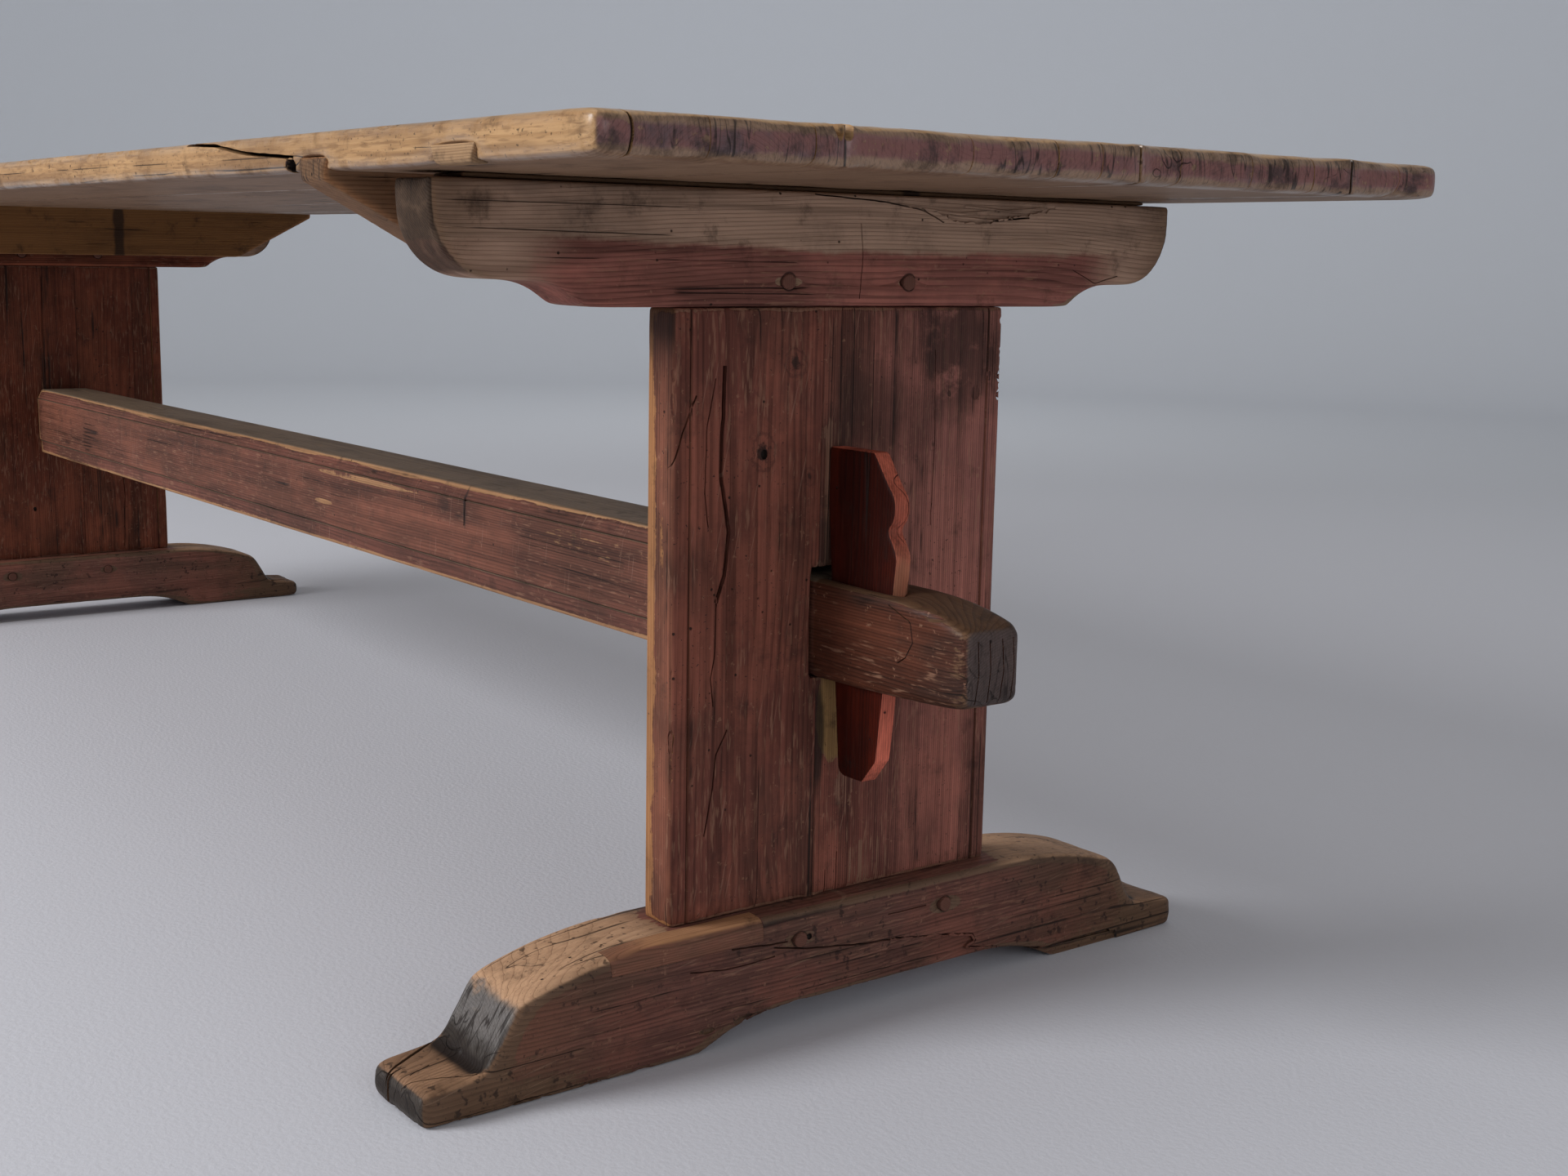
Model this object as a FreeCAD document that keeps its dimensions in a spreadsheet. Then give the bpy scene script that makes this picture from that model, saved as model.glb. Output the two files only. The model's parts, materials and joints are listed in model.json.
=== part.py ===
import FreeCAD
import Part
import Sketcher
import os
import re

# A knock-down trestle table of old painted pine.
# X runs along the table, Y across it and Z up, from the floor under the middle of the table.
# The right trestle stands at +X. The left one is the same trestle turned half round about Z.

sizes = {
    # Top, four boards wide, counted from the front edge at -Y
    "table_height": 770,
    "top_length": 2890,
    "top_thickness": 31,
    "top_arris": 5,
    "front_board_width": 197,
    "inner_front_board_width": 286,
    "inner_back_board_width": 256,
    "back_board_width": 123,
    "top_dowel_diameter": 14,
    "top_dowel_length": 70,
    # Patch let into the lower front arris of the top
    "patch_length": 66,
    "patch_low_length": 52,
    "patch_height": 14,
    "patch_depth": 15,
    "patch_shift": 25,
    # Dovetailed battens under the top
    "batten_gap": 58,
    "batten_thickness": 46,
    "batten_drop": 80,
    "batten_tongue": 12,
    "batten_flare": 5,
    "batten_bevel_run": 140,
    "batten_end_height": 6,
    "batten_stop": 60,
    "sliding_gap": 0.3,
    # Bearers under the top, with a cove, a step and a round nose at each end
    "bearer_length": 802,
    "bearer_height": 97,
    "bearer_thickness": 62,
    "bearer_arris": 4,
    "cove_run": 50,
    "cove_rise": 21,
    "step_run": 28,
    "nose_run": 55,
    "nose_land": 21,
    "packing_thickness": 4,
    "packing_length": 740,
    "packing_margin": 7,
    # Trestle panels, two boards each, with a quirk and a rounded arris up each edge
    "trestle_overhang": 304,
    "panel_thickness": 42,
    "narrow_panel_width": 155,
    "wide_panel_width": 211,
    "panel_arris": 6,
    "quirk_inset": 16,
    "quirk_width": 4,
    "quirk_depth": 2.5,
    "panel_tenon_thickness": 16,
    "panel_tenon_shoulder": 40,
    "bearer_tenon_cover": 37,
    "foot_tenon_cover": 16,
    "panel_dowel_diameter": 12,
    "panel_dowel_length": 60,
    "joint_gap": 0.2,
    # Pegs through the panel tenons
    "peg_diameter": 14,
    "peg_gap": 0.1,
    "peg_proud": 1,
    "bearer_peg_spacing": 133,
    "bearer_peg_height": 21.5,
    "foot_peg_spacing": 171,
    "foot_peg_shift": 26,
    "foot_peg_depth": 27.5,
    # Sledge feet with a hump, stepped toes and an arched underside
    "foot_length": 862,
    "foot_height": 110,
    "foot_thickness": 93,
    "foot_arris": 7,
    "toe_length": 58,
    "toe_height": 29,
    "toe_rise": 4,
    "toe_radius": 8,
    "riser_run": 31,
    "panel_landing": 12,
    "hump_drop": 25,
    "shoulder_radius": 30,
    "arch_length": 420,
    "arch_rise": 24,
    "arch_run": 90,
    "right_arch_shift": 47,
    # Repair strip let into the upper outer arris of the right foot
    "strip_reach": 256,
    "strip_length": 155,
    "strip_width": 22,
    "strip_height": 20,
    # Stretcher with a bevelled upper edge and a sunk lower band
    "stretcher_low": 304,
    "stretcher_height": 114,
    "stretcher_width": 94,
    "bevel_width": 8,
    "bevel_height": 16,
    "band_height": 20,
    "band_depth": 3,
    "band_quirk": 4,
    # Through tenons of the stretcher, tapered outside the panels
    "tenon_width": 64,
    "tenon_height": 89,
    "tenon_step": 8,
    "tenon_reach": 198,
    "tenon_flat": 94,
    "tenon_tip_drop": 15,
    "tenon_tip_rise": 8,
    "tenon_arris": 9,
    "mortise_side_gap": 5,
    "mortise_top_gap": 11,
    # Scrolled wedges in the sloping slots of the tenons
    "wedge_length": 290,
    "wedge_thickness": 17,
    "wedge_drop": 84,
    "wedge_shift": 11,
    "wedge_gap": 0.3,
    "wedge_toe_width": 73,
    "wedge_toe_cut_run": 18,
    "wedge_toe_cut_rise": 22,
    "wedge_toe_radius": 8,
    "wedge_back_taper": 22,
    "wedge_bearing_length": 50,
    "wedge_head_width": 94,
    "wedge_head_drop": 88,
    "cusp_width": 79,
    "cusp_drop": 65,
    "bulge_width": 90.5,
    "bulge_drop": 48,
    "neck_width": 82,
    "neck_drop": 28,
    "wedge_top_width": 61,
    "ovolo_swell": 2.5,
    "slot_relief": 6,
}

# Levels, lines and faces that follow from the sizes
places = {
    "underside": "table_height - top_thickness",
    "bearer_top": "underside - packing_thickness",
    "bearer_low": "bearer_top - bearer_height",
    "stretcher_top": "stretcher_low + stretcher_height",
    "tenon_low": "stretcher_low + tenon_step",
    "tenon_top": "tenon_low + tenon_height",
    "tenon_tip_top": "tenon_top - tenon_tip_drop",
    "wedge_low": "tenon_low - wedge_drop",
    "wedge_top": "wedge_low + wedge_length",
    "wedge_toe_level": "wedge_low + wedge_toe_cut_rise",
    "wedge_head_level": "wedge_top - wedge_head_drop",
    "mortise_top": "tenon_top + mortise_top_gap",
    "bearer_peg_level": "bearer_low + bearer_peg_height",
    "foot_peg_level": "foot_height - foot_peg_depth",
    "top_end": "top_length / 2",
    "trestle_offset": "top_end - trestle_overhang",
    "panel_out": "trestle_offset + panel_thickness / 2",
    "panel_in": "trestle_offset - panel_thickness / 2",
    "bearer_in": "panel_out - bearer_thickness",
    "foot_in": "trestle_offset - foot_thickness / 2",
    "foot_out": "trestle_offset + foot_thickness / 2",
    "batten_line": "bearer_in - batten_gap - batten_thickness / 2",
    "overhang_line": "(batten_line + top_end) / 2",
    "tenon_end": "panel_out + tenon_reach",
    "wedge_back": "panel_out + wedge_gap",
    "front_pair_width": "front_board_width + inner_front_board_width",
    "back_pair_width": "inner_back_board_width + back_board_width",
    "top_edge": "(front_pair_width + back_pair_width) / 2",
    "front_joint": "front_board_width - top_edge",
    "middle_joint": "front_pair_width - top_edge",
    "back_joint": "top_edge - back_board_width",
    "panel_edge": "(narrow_panel_width + wide_panel_width) / 2",
    "panel_joint": "narrow_panel_width - panel_edge",
    "tenon_edge": "panel_edge - panel_tenon_shoulder",
    "bearer_tenon_length": "bearer_height - bearer_tenon_cover",
    "foot_tenon_length": "foot_height - arch_rise - foot_tenon_cover",
    "bearer_end": "bearer_length / 2",
    "nose_line": "bearer_end - nose_run",
    "cove_line": "nose_line - step_run",
    "flat_line": "cove_line - cove_run",
    "nose_rise": "bearer_height - cove_rise - nose_land",
    "foot_end": "foot_length / 2",
    "riser_line": "foot_end - toe_length",
    "shoulder_line": "riser_line - riser_run",
    "hump_line": "panel_edge + panel_landing",
    "hump_run": "shoulder_line - hump_line",
    "notch_level": "toe_height + toe_rise",
    "shoulder_level": "foot_height - hump_drop",
    "peg_hole_radius": "peg_diameter / 2 + peg_gap",
}

# Points closer than this count as the same place when edges are picked out
same_place = 0.01

half_turn = FreeCAD.Placement(FreeCAD.Vector(0, 0, 0), FreeCAD.Rotation(FreeCAD.Vector(0, 0, 1), 180))
along_x = FreeCAD.Rotation(FreeCAD.Vector(0, 1, 0), 90)
along_y = FreeCAD.Rotation(FreeCAD.Vector(1, 0, 0), -90)

doc = FreeCAD.newDocument("trestle_table")
sheet = doc.addObject("Spreadsheet::Sheet", "Sizes")
cells = {name: str(number) for name, number in sizes.items()}
cells.update({name: "=" + formula for name, formula in places.items()})
for row, (name, text) in enumerate(cells.items(), start=1):
    sheet.set(f"A{row}", name)
    sheet.set(f"B{row}", text)
    sheet.setAlias(f"B{row}", name)
workings = doc.addObject("Spreadsheet::Sheet", "Workings")
doc.recompute()


def bound(formula):
    # The names in a formula become references to the sheet; names of functions stay
    return re.sub(r"\b([a-z]\w*)\b(?!\()", r"Sizes.\1", formula)


def worth(formula):
    # A spare sheet works out where a point starts, so that the sizes stay untouched
    workings.set("A1", "=" + bound(formula))
    workings.recompute()
    return float(workings.get("A1"))


def tie(item, bindings):
    for path, formula in bindings.items():
        item.setExpression(path, bound(formula))
    return item


def tangent_middle(run, rise):
    # Middle of an arc that leaves level and then climbs by rise over run
    chord = f"sqrt(({run})^2 + ({rise})^2)"
    return f"{chord} / 2", f"{chord} * ({chord} - ({run})) / (2 * ({rise}))"


def fix_point(drawing, edge, end, spot, formulas):
    for kind, place, formula in zip(("DistanceX", "DistanceY"), (spot.x, spot.y), formulas):
        number = drawing.addConstraint(Sketcher.Constraint(kind, -1, 1, edge, end, place))
        drawing.setExpression(f"Constraints[{number}]", bound(formula))


def draw(drawing, outline):
    # Each corner is (u, v), reached by a line, or (u, v, via u, via v), reached by an arc
    spots = [FreeCAD.Vector(worth(corner[0]), worth(corner[1]), 0) for corner in outline]
    first = drawing.GeometryCount
    ends = []
    for index, corner in enumerate(outline):
        start = spots[index - 1]
        stop = spots[index]
        if len(corner) == 2:
            drawing.addGeometry(Part.LineSegment(start, stop))
            ends.append((1, 2))
            continue
        middle = FreeCAD.Vector(worth(corner[2]), worth(corner[3]), 0)
        turns_left = (middle - start).cross(stop - middle).z > 0
        arc = Part.Arc(start, middle, stop) if turns_left else Part.Arc(stop, middle, start)
        drawing.addGeometry(arc)
        ends.append((1, 2) if turns_left else (2, 1))
    for index, corner in enumerate(outline):
        follower = (index + 1) % len(outline)
        meeting = (first + index, ends[index][1], first + follower, ends[follower][0])
        drawing.addConstraint(Sketcher.Constraint("Coincident", *meeting))
        fix_point(drawing, first + index, ends[index][1], spots[index], corner[:2])
        if len(corner) == 4:
            middle = FreeCAD.Vector(worth(corner[2]), worth(corner[3]), 0)
            mark = drawing.addGeometry(Part.Point(middle), True)
            drawing.addConstraint(Sketcher.Constraint("PointOnObject", mark, 1, first + index))
            fix_point(drawing, mark, 1, middle, corner[2:])


def new_body(name):
    return doc.addObject("PartDesign::Body", name)


def pad(body, name, plane, outline, length, offset="0", two_sided=False, reverse=False):
    # Outlines stand on the body's own YZ, XZ or XY plane, moved along its normal by offset
    drawing = body.newObject("Sketcher::SketchObject", name + "_outline")
    support = [feature for feature in body.Origin.OriginFeatures if feature.Role == plane]
    drawing.AttachmentSupport = [(support[0], "")]
    drawing.MapMode = "FlatFace"
    tie(drawing, {"AttachmentOffset.Base.z": offset})
    draw(drawing, outline)
    solid = body.newObject("PartDesign::Pad", name)
    solid.Profile = drawing
    solid.SideType = "Symmetric" if two_sided else "One side"
    solid.Reversed = reverse
    tie(solid, {"Length": length})
    drawing.Visibility = False
    doc.recompute()
    return solid


def rounded(body, name, radius, chosen):
    # Rounds the edges of the body whose middle and direction pass the test
    base = body.Tip
    names = []
    for number, edge in enumerate(base.Shape.Edges, start=1):
        middle = edge.valueAt((edge.FirstParameter + edge.LastParameter) / 2)
        way = edge.tangentAt((edge.FirstParameter + edge.LastParameter) / 2)
        if chosen(middle, way):
            names.append(f"Edge{number}")
    fillet = body.newObject("PartDesign::Fillet", name)
    fillet.Base = (base, names)
    tie(fillet, {"Radius": radius})
    doc.recompute()
    return fillet


def near(first, second):
    return abs(first - second) < same_place


def block(name, low, high):
    item = doc.addObject("Part::Box", name)
    for axis, side, start, stop in zip("xyz", ("Length", "Width", "Height"), low, high):
        tie(item, {"Placement.Base." + axis: start, side: f"({stop}) - ({start})"})
    return item


def rod(name, radius, length, start, turn):
    item = doc.addObject("Part::Cylinder", name)
    item.Placement = FreeCAD.Placement(FreeCAD.Vector(0, 0, 0), turn)
    tie(item, {"Radius": radius, "Height": length})
    for axis, formula in zip("xyz", start):
        tie(item, {"Placement.Base." + axis: formula})
    return item


def joined(name, tools):
    if len(tools) == 1:
        return tools[0]
    item = doc.addObject("Part::MultiFuse", name)
    item.Shapes = tools
    return item


def cut(name, base, tools):
    item = doc.addObject("Part::Cut", name)
    item.Base = base
    item.Tool = joined(name + "_cuts", tools)
    return item


def shared(name, first, second):
    item = doc.addObject("Part::Common", name)
    item.Base = first
    item.Tool = second
    return item


def group(name, items):
    item = doc.addObject("Part::Compound", name)
    item.Links = items
    return item


def let_in(patch, name, whole, plug):
    # A patch let into a piece, flush with it because both are cut from the whole piece
    whole.Label = name + "_whole"
    rest = cut(name + "_let_in", whole, [plug])
    rest.Label = name
    return {patch: shared(patch, whole, plug), name: rest}


def batten(name):
    # The front end runs out at the front edge of the top; the other end stops short of the back
    body = new_body(name)
    stop = "top_edge - batten_stop"
    low = "underside - batten_drop"
    outline = [
        ("-top_edge", "underside"),
        ("-top_edge", "underside - batten_end_height"),
        ("-top_edge + batten_bevel_run", low),
        (f"{stop} - batten_bevel_run", low),
        (stop, "underside - batten_end_height"),
        (stop, "underside"),
    ]
    pad(body, name + "_rail", "YZ_Plane", outline, "batten_thickness", "batten_line", two_sided=True)
    tongue = dovetail("0", "batten_tongue")
    length = "2 * top_edge - batten_stop"
    pad(body, name + "_tongue", "XZ_Plane", tongue, length, "top_edge", reverse=True)
    return body


def dovetail(room, height):
    # Section of the dovetail, widened all round by room
    neck = f"batten_thickness / 2 + {room}"
    head = f"batten_thickness / 2 + batten_flare + {room}"
    return [
        (f"batten_line - ({neck})", "underside"),
        (f"batten_line + {neck}", "underside"),
        (f"batten_line + {head}", f"underside + {height}"),
        (f"batten_line - ({head})", f"underside + {height}"),
    ]


def batten_groove(name):
    body = new_body(name)
    outline = dovetail("sliding_gap", "batten_tongue + sliding_gap")
    length = "2 * top_edge + sliding_gap"
    pad(body, name + "_run", "XZ_Plane", outline, length, "top_edge + batten_stop", reverse=True)
    return body


def top_board(name, low, high):
    # Only the arrises round the outside of the whole top are rounded
    body = new_body(name)
    outline = [(low, "underside"), (high, "underside"), (high, "table_height"), (low, "table_height")]
    pad(body, name + "_plank", "YZ_Plane", outline, "top_length", two_sided=True)
    end = worth("top_end")
    edge = worth("top_edge")

    def outer(middle, way):
        across_end = near(abs(middle.x), end) and near(way.z, 0)
        return across_end or near(abs(middle.y), edge)

    rounded(body, name + "_round", "top_arris", outer)
    return body


def dowel_rods(name, radius, length):
    # Along each joint: at the middle, between the battens, and out in both overhangs
    lines = ("-overhang_line", "-batten_line / 2", "0", "batten_line / 2", "overhang_line")
    rods = []
    for joint in ("front_joint", "middle_joint", "back_joint"):
        for count, line in enumerate(lines):
            start = (line, f"{joint} - ({length}) / 2", "underside + top_thickness / 2")
            rods.append(rod(f"{name}_{joint}_{count}", radius, length, start, along_y))
    return rods


def make_top():
    grooves = [batten_groove("right_groove"), batten_groove("left_groove")]
    grooves[1].Placement = half_turn
    holes = dowel_rods("top_hole", "top_dowel_diameter / 2 + joint_gap", "top_dowel_length + 2 * joint_gap")
    cuts = joined("top_cuts", grooves + holes)
    lines = ("-top_edge", "front_joint", "middle_joint", "back_joint", "top_edge")
    names = ("front_top_board", "inner_front_top_board", "inner_back_top_board", "back_top_board")
    pieces = {}
    for name, low, high in zip(names, lines, lines[1:]):
        pieces[name] = cut(name, top_board(name + "_blank", low, high), [cuts])
    pieces.update(let_in("edge_patch", "front_top_board", pieces["front_top_board"], patch_plug()))
    pieces["right_batten"] = batten("right_batten")
    pieces["left_batten"] = batten("left_batten")
    pieces["left_batten"].Placement = half_turn
    dowels = dowel_rods("top_dowel", "top_dowel_diameter / 2", "top_dowel_length")
    pieces["top_dowels"] = group("top_dowels", dowels)
    return pieces


def patch_plug():
    # The patch is a shallow dovetail in the front edge
    plug = new_body("patch_plug")
    middle = "overhang_line + patch_shift"
    outline = [
        (f"{middle} - patch_low_length / 2", "underside"),
        (f"{middle} + patch_low_length / 2", "underside"),
        (f"{middle} + patch_length / 2", "underside + patch_height"),
        (f"{middle} - patch_length / 2", "underside + patch_height"),
    ]
    pad(plug, "patch_plug_run", "XZ_Plane", outline, "2 * patch_depth", "top_edge", two_sided=True)
    return plug


def bearer_blank(name):
    body = new_body(name)
    step_level = "bearer_low + cove_rise"
    nose_level = f"{step_level} + nose_rise"
    cove_run, cove_rise = tangent_middle("cove_run", "cove_rise")
    nose_run, nose_rise = tangent_middle("nose_run", "nose_rise")
    cove_middle = f"{step_level} - {cove_rise}"
    nose_middle = f"{step_level} + {nose_rise}"
    outline = [
        ("flat_line", "bearer_low"),
        ("cove_line", step_level, f"cove_line - {cove_run}", cove_middle),
        ("nose_line", step_level),
        ("bearer_end", nose_level, f"nose_line + {nose_run}", nose_middle),
        ("bearer_end", "bearer_top"),
        ("-bearer_end", "bearer_top"),
        ("-bearer_end", nose_level),
        ("-nose_line", step_level, f"-nose_line - {nose_run}", nose_middle),
        ("-cove_line", step_level),
        ("-flat_line", "bearer_low", f"-cove_line + {cove_run}", cove_middle),
    ]
    pad(body, name + "_plank", "YZ_Plane", outline, "bearer_thickness", "bearer_in")
    inside = worth("bearer_in")
    outside = worth("panel_out")

    def on_face(middle, way):
        return near(middle.x, inside) or near(middle.x, outside)

    rounded(body, name + "_round", "bearer_arris", on_face)
    return body


def packing(name):
    body = new_body(name)
    outline = [
        ("-packing_length / 2", "bearer_top"),
        ("packing_length / 2", "bearer_top"),
        ("packing_length / 2", "underside"),
        ("-packing_length / 2", "underside"),
    ]
    thickness = "bearer_thickness - 2 * packing_margin"
    pad(body, name + "_strip", "YZ_Plane", outline, thickness, "bearer_in + packing_margin")
    return body


def panel_blank(name, side, width):
    # The board lies on one side of the joint, -1 or 1, with its beaded edge outwards
    body = new_body(name)
    rim = f"panel_joint + {side} * {width}"
    inner = f"{rim} - {side} * (quirk_inset + quirk_width)"
    deep = f"{rim} - {side} * (quirk_inset + quirk_width / 2)"
    outer = f"{rim} - {side} * quirk_inset"
    outline = [
        ("panel_out", "panel_joint"),
        ("panel_out", inner),
        ("panel_out - quirk_depth", deep),
        ("panel_out", outer),
        ("panel_out", rim),
        ("panel_in", rim),
        ("panel_in", outer),
        ("panel_in + quirk_depth", deep),
        ("panel_in", inner),
        ("panel_in", "panel_joint"),
    ]
    pad(body, name + "_board", "XY_Plane", outline, "bearer_low - foot_height", "foot_height")
    rim_place = worth(rim)

    def upright_rim(middle, way):
        return near(middle.y, rim_place) and near(abs(way.z), 1)

    rounded(body, name + "_round", "panel_arris", upright_rim)
    shoulder = f"{rim} - {side} * panel_tenon_shoulder"
    tenon = [
        ("trestle_offset + panel_tenon_thickness / 2", "panel_joint"),
        ("trestle_offset + panel_tenon_thickness / 2", shoulder),
        ("trestle_offset - panel_tenon_thickness / 2", shoulder),
        ("trestle_offset - panel_tenon_thickness / 2", "panel_joint"),
    ]
    length = "bearer_low - foot_height + bearer_tenon_length + foot_tenon_length"
    pad(body, name + "_tenon", "XY_Plane", tenon, length, "foot_height - foot_tenon_length")
    return body


def foot_blank(name, shift):
    body = new_body(name)
    hump_run, hump_rise = tangent_middle("hump_run", "hump_drop")
    arch_run, arch_rise = tangent_middle("arch_run", "arch_rise")
    arch_end = "arch_length / 2"
    hump_middle = f"foot_height - {hump_rise}"
    arch_middle = f"arch_rise - {arch_rise}"
    outline = [
        ("foot_end", "0"),
        ("foot_end", "toe_height"),
        ("riser_line", "notch_level"),
        ("shoulder_line", "shoulder_level"),
        ("hump_line", "foot_height", f"hump_line + {hump_run}", hump_middle),
        ("-hump_line", "foot_height"),
        ("-shoulder_line", "shoulder_level", f"-hump_line - {hump_run}", hump_middle),
        ("-riser_line", "notch_level"),
        ("-foot_end", "toe_height"),
        ("-foot_end", "0"),
        (f"{shift} - {arch_end}", "0"),
        (f"{shift} - {arch_end} + arch_run", "arch_rise",
         f"{shift} - {arch_end} + arch_run - {arch_run}", arch_middle),
        (f"{shift} + {arch_end} - arch_run", "arch_rise"),
        (f"{shift} + {arch_end}", "0",
         f"{shift} + {arch_end} - arch_run + {arch_run}", arch_middle),
    ]
    pad(body, name + "_beam", "YZ_Plane", outline, "foot_thickness", "foot_in")
    shoulder = (worth("shoulder_line"), worth("shoulder_level"))
    notch = (worth("riser_line"), worth("notch_level"))
    toe = (worth("foot_end"), worth("toe_height"))

    bends = (("_shoulders", "shoulder_radius", shoulder), ("_notches", "toe_radius", notch),
             ("_toes", "toe_radius", toe))
    for part, radius, spot in bends:

        def cross_edge(middle, way):
            return near(abs(middle.y), spot[0]) and near(middle.z, spot[1]) and near(abs(way.x), 1)

        rounded(body, name + part, radius, cross_edge)
    faces = (worth("foot_in"), worth("foot_out"))
    arch_level = worth("arch_rise")

    def upper_arris(middle, way):
        on_face = near(middle.x, faces[0]) or near(middle.x, faces[1])
        return on_face and (middle.z > arch_level + same_place or abs(middle.y) > notch[0])

    rounded(body, name + "_round", "foot_arris", upper_arris)
    return body


def through_pegs(name, radius, level, spacing, shift, start, length):
    rods = []
    for count, side in enumerate((-1, 1)):
        place = (start, f"{shift} + {side} * {spacing} / 2", level)
        rods.append(rod(f"{name}_{count}", radius, length, place, along_x))
    return rods


def bearer_pegs(name, radius, over):
    start = f"bearer_in - {over}"
    length = f"bearer_thickness + 2 * {over}"
    return through_pegs(name, radius, "bearer_peg_level", "bearer_peg_spacing", "0", start, length)


def foot_pegs(name, radius, over):
    start = f"foot_in - {over}"
    length = f"foot_thickness + 2 * {over}"
    return through_pegs(name, radius, "foot_peg_level", "foot_peg_spacing", "foot_peg_shift", start, length)


def panel_dowels(name, radius, length):
    # One dowel midway below the mortise and one midway above it
    levels = ("(foot_height + tenon_low) / 2", "(mortise_top + bearer_low) / 2")
    rods = []
    for count, level in enumerate(levels):
        start = ("trestle_offset", f"panel_joint - ({length}) / 2", level)
        rods.append(rod(f"{name}_{count}", radius, length, start, along_y))
    return rods


def tenon_mortise(name, low, high):
    half = "panel_tenon_thickness / 2 + joint_gap"
    edge = "tenon_edge + joint_gap"
    near_corner = (f"trestle_offset - ({half})", f"-({edge})", low)
    return block(name, near_corner, (f"trestle_offset + {half}", edge, high))


def make_trestle(side, arch_shift):
    bearer_holes = bearer_pegs(side + "_bearer_hole", "peg_hole_radius", "peg_diameter")
    foot_holes = foot_pegs(side + "_foot_hole", "peg_hole_radius", "peg_diameter")
    dowel_holes = panel_dowels(side + "_panel_hole", "panel_dowel_diameter / 2 + joint_gap",
                               "panel_dowel_length + 2 * joint_gap")
    upper = tenon_mortise(side + "_upper_mortise", "bearer_low - bearer_tenon_length",
                          "bearer_low + bearer_tenon_length + joint_gap")
    lower = tenon_mortise(side + "_lower_mortise", "foot_height - foot_tenon_length - joint_gap",
                          "foot_height + foot_tenon_length")
    gap = "tenon_width / 2 + mortise_side_gap"
    through = block(side + "_through_mortise", ("panel_in - panel_thickness", f"-({gap})", "tenon_low"),
                    ("panel_out + panel_thickness", gap, "mortise_top"))
    panel_cuts = joined(side + "_panel_cuts", [through] + bearer_holes + foot_holes + dowel_holes)
    bearer = bearer_blank(side + "_bearer_blank")
    narrow = panel_blank(side + "_narrow_panel_blank", -1, "narrow_panel_width")
    wide = panel_blank(side + "_wide_panel_blank", 1, "wide_panel_width")
    foot = foot_blank(side + "_foot_blank", arch_shift)
    dowels = panel_dowels(side + "_panel_dowel", "panel_dowel_diameter / 2", "panel_dowel_length")
    upper_pegs = bearer_pegs(side + "_bearer_peg", "peg_diameter / 2", "peg_proud")
    lower_pegs = foot_pegs(side + "_foot_peg", "peg_diameter / 2", "peg_proud")
    return {
        side + "_bearer": cut(side + "_bearer", bearer, [upper] + bearer_holes),
        side + "_packing_strip": packing(side + "_packing_strip"),
        side + "_narrow_panel_board": cut(side + "_narrow_panel_board", narrow, [panel_cuts]),
        side + "_wide_panel_board": cut(side + "_wide_panel_board", wide, [panel_cuts]),
        side + "_panel_dowels": group(side + "_panel_dowels", dowels),
        side + "_bearer_pegs": group(side + "_bearer_pegs", upper_pegs),
        side + "_foot_pegs": group(side + "_foot_pegs", lower_pegs),
        side + "_foot": cut(side + "_foot", foot, [lower] + foot_holes),
        side + "_wedge": wedge(side + "_wedge"),
    }


def strip_plug():
    # The strip runs along the upper outer arris, cut to the same curve as the foot
    low = ("foot_out - strip_width", "-strip_reach", "foot_height - strip_height")
    high = ("foot_out + strip_width", "strip_length - strip_reach", "foot_height + strip_height")
    return block("strip_plug", low, high)


def wedge_front(level):
    # Straight front edge of the wedge at a level, from its toe up to its head
    slope = "(wedge_head_width - wedge_toe_width) / (wedge_head_level - wedge_toe_level)"
    return f"wedge_back + wedge_toe_width + {slope} * ({level} - wedge_toe_level)"


def wedge(name):
    # Seen from the front: the head bears on the panel, both edges taper below it, and the front ends in a scroll
    body = new_body(name)
    ovolo_out = "(wedge_head_width + cusp_width) / 2 + ovolo_swell"
    ovolo_level = "(wedge_head_level + wedge_top - cusp_drop) / 2"
    outline = [
        ("wedge_back + wedge_back_taper", "wedge_low"),
        ("wedge_back + wedge_toe_width - wedge_toe_cut_run", "wedge_low"),
        ("wedge_back + wedge_toe_width", "wedge_toe_level"),
        ("wedge_back + wedge_head_width", "wedge_head_level"),
        ("wedge_back + cusp_width", "wedge_top - cusp_drop", f"wedge_back + {ovolo_out}", ovolo_level),
        ("wedge_back + neck_width", "wedge_top - neck_drop",
         "wedge_back + bulge_width", "wedge_top - bulge_drop"),
        ("wedge_back + wedge_top_width", "wedge_top"),
        ("wedge_back", "wedge_top"),
        ("wedge_back", "wedge_top - wedge_bearing_length"),
    ]
    pad(body, name + "_slab", "XZ_Plane", outline, "wedge_thickness", "wedge_shift", two_sided=True)
    corner = (worth("wedge_back + wedge_back_taper"), worth("wedge_low"))

    def toe_corner(middle, way):
        return near(middle.x, corner[0]) and near(middle.z, corner[1]) and near(abs(way.y), 1)

    rounded(body, name + "_toe", "wedge_toe_radius", toe_corner)
    return body


def wedge_slot(name):
    body = new_body(name)
    low = "(tenon_low - tenon_step)"
    high = "(tenon_top + tenon_step)"
    outline = [
        ("panel_out - slot_relief", low),
        (f"{wedge_front(low)} + wedge_gap", low),
        (f"{wedge_front(high)} + wedge_gap", high),
        ("panel_out - slot_relief", high),
    ]
    width = "wedge_thickness + 2 * wedge_gap"
    pad(body, name + "_run", "XZ_Plane", outline, width, "wedge_shift", two_sided=True)
    return body


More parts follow.
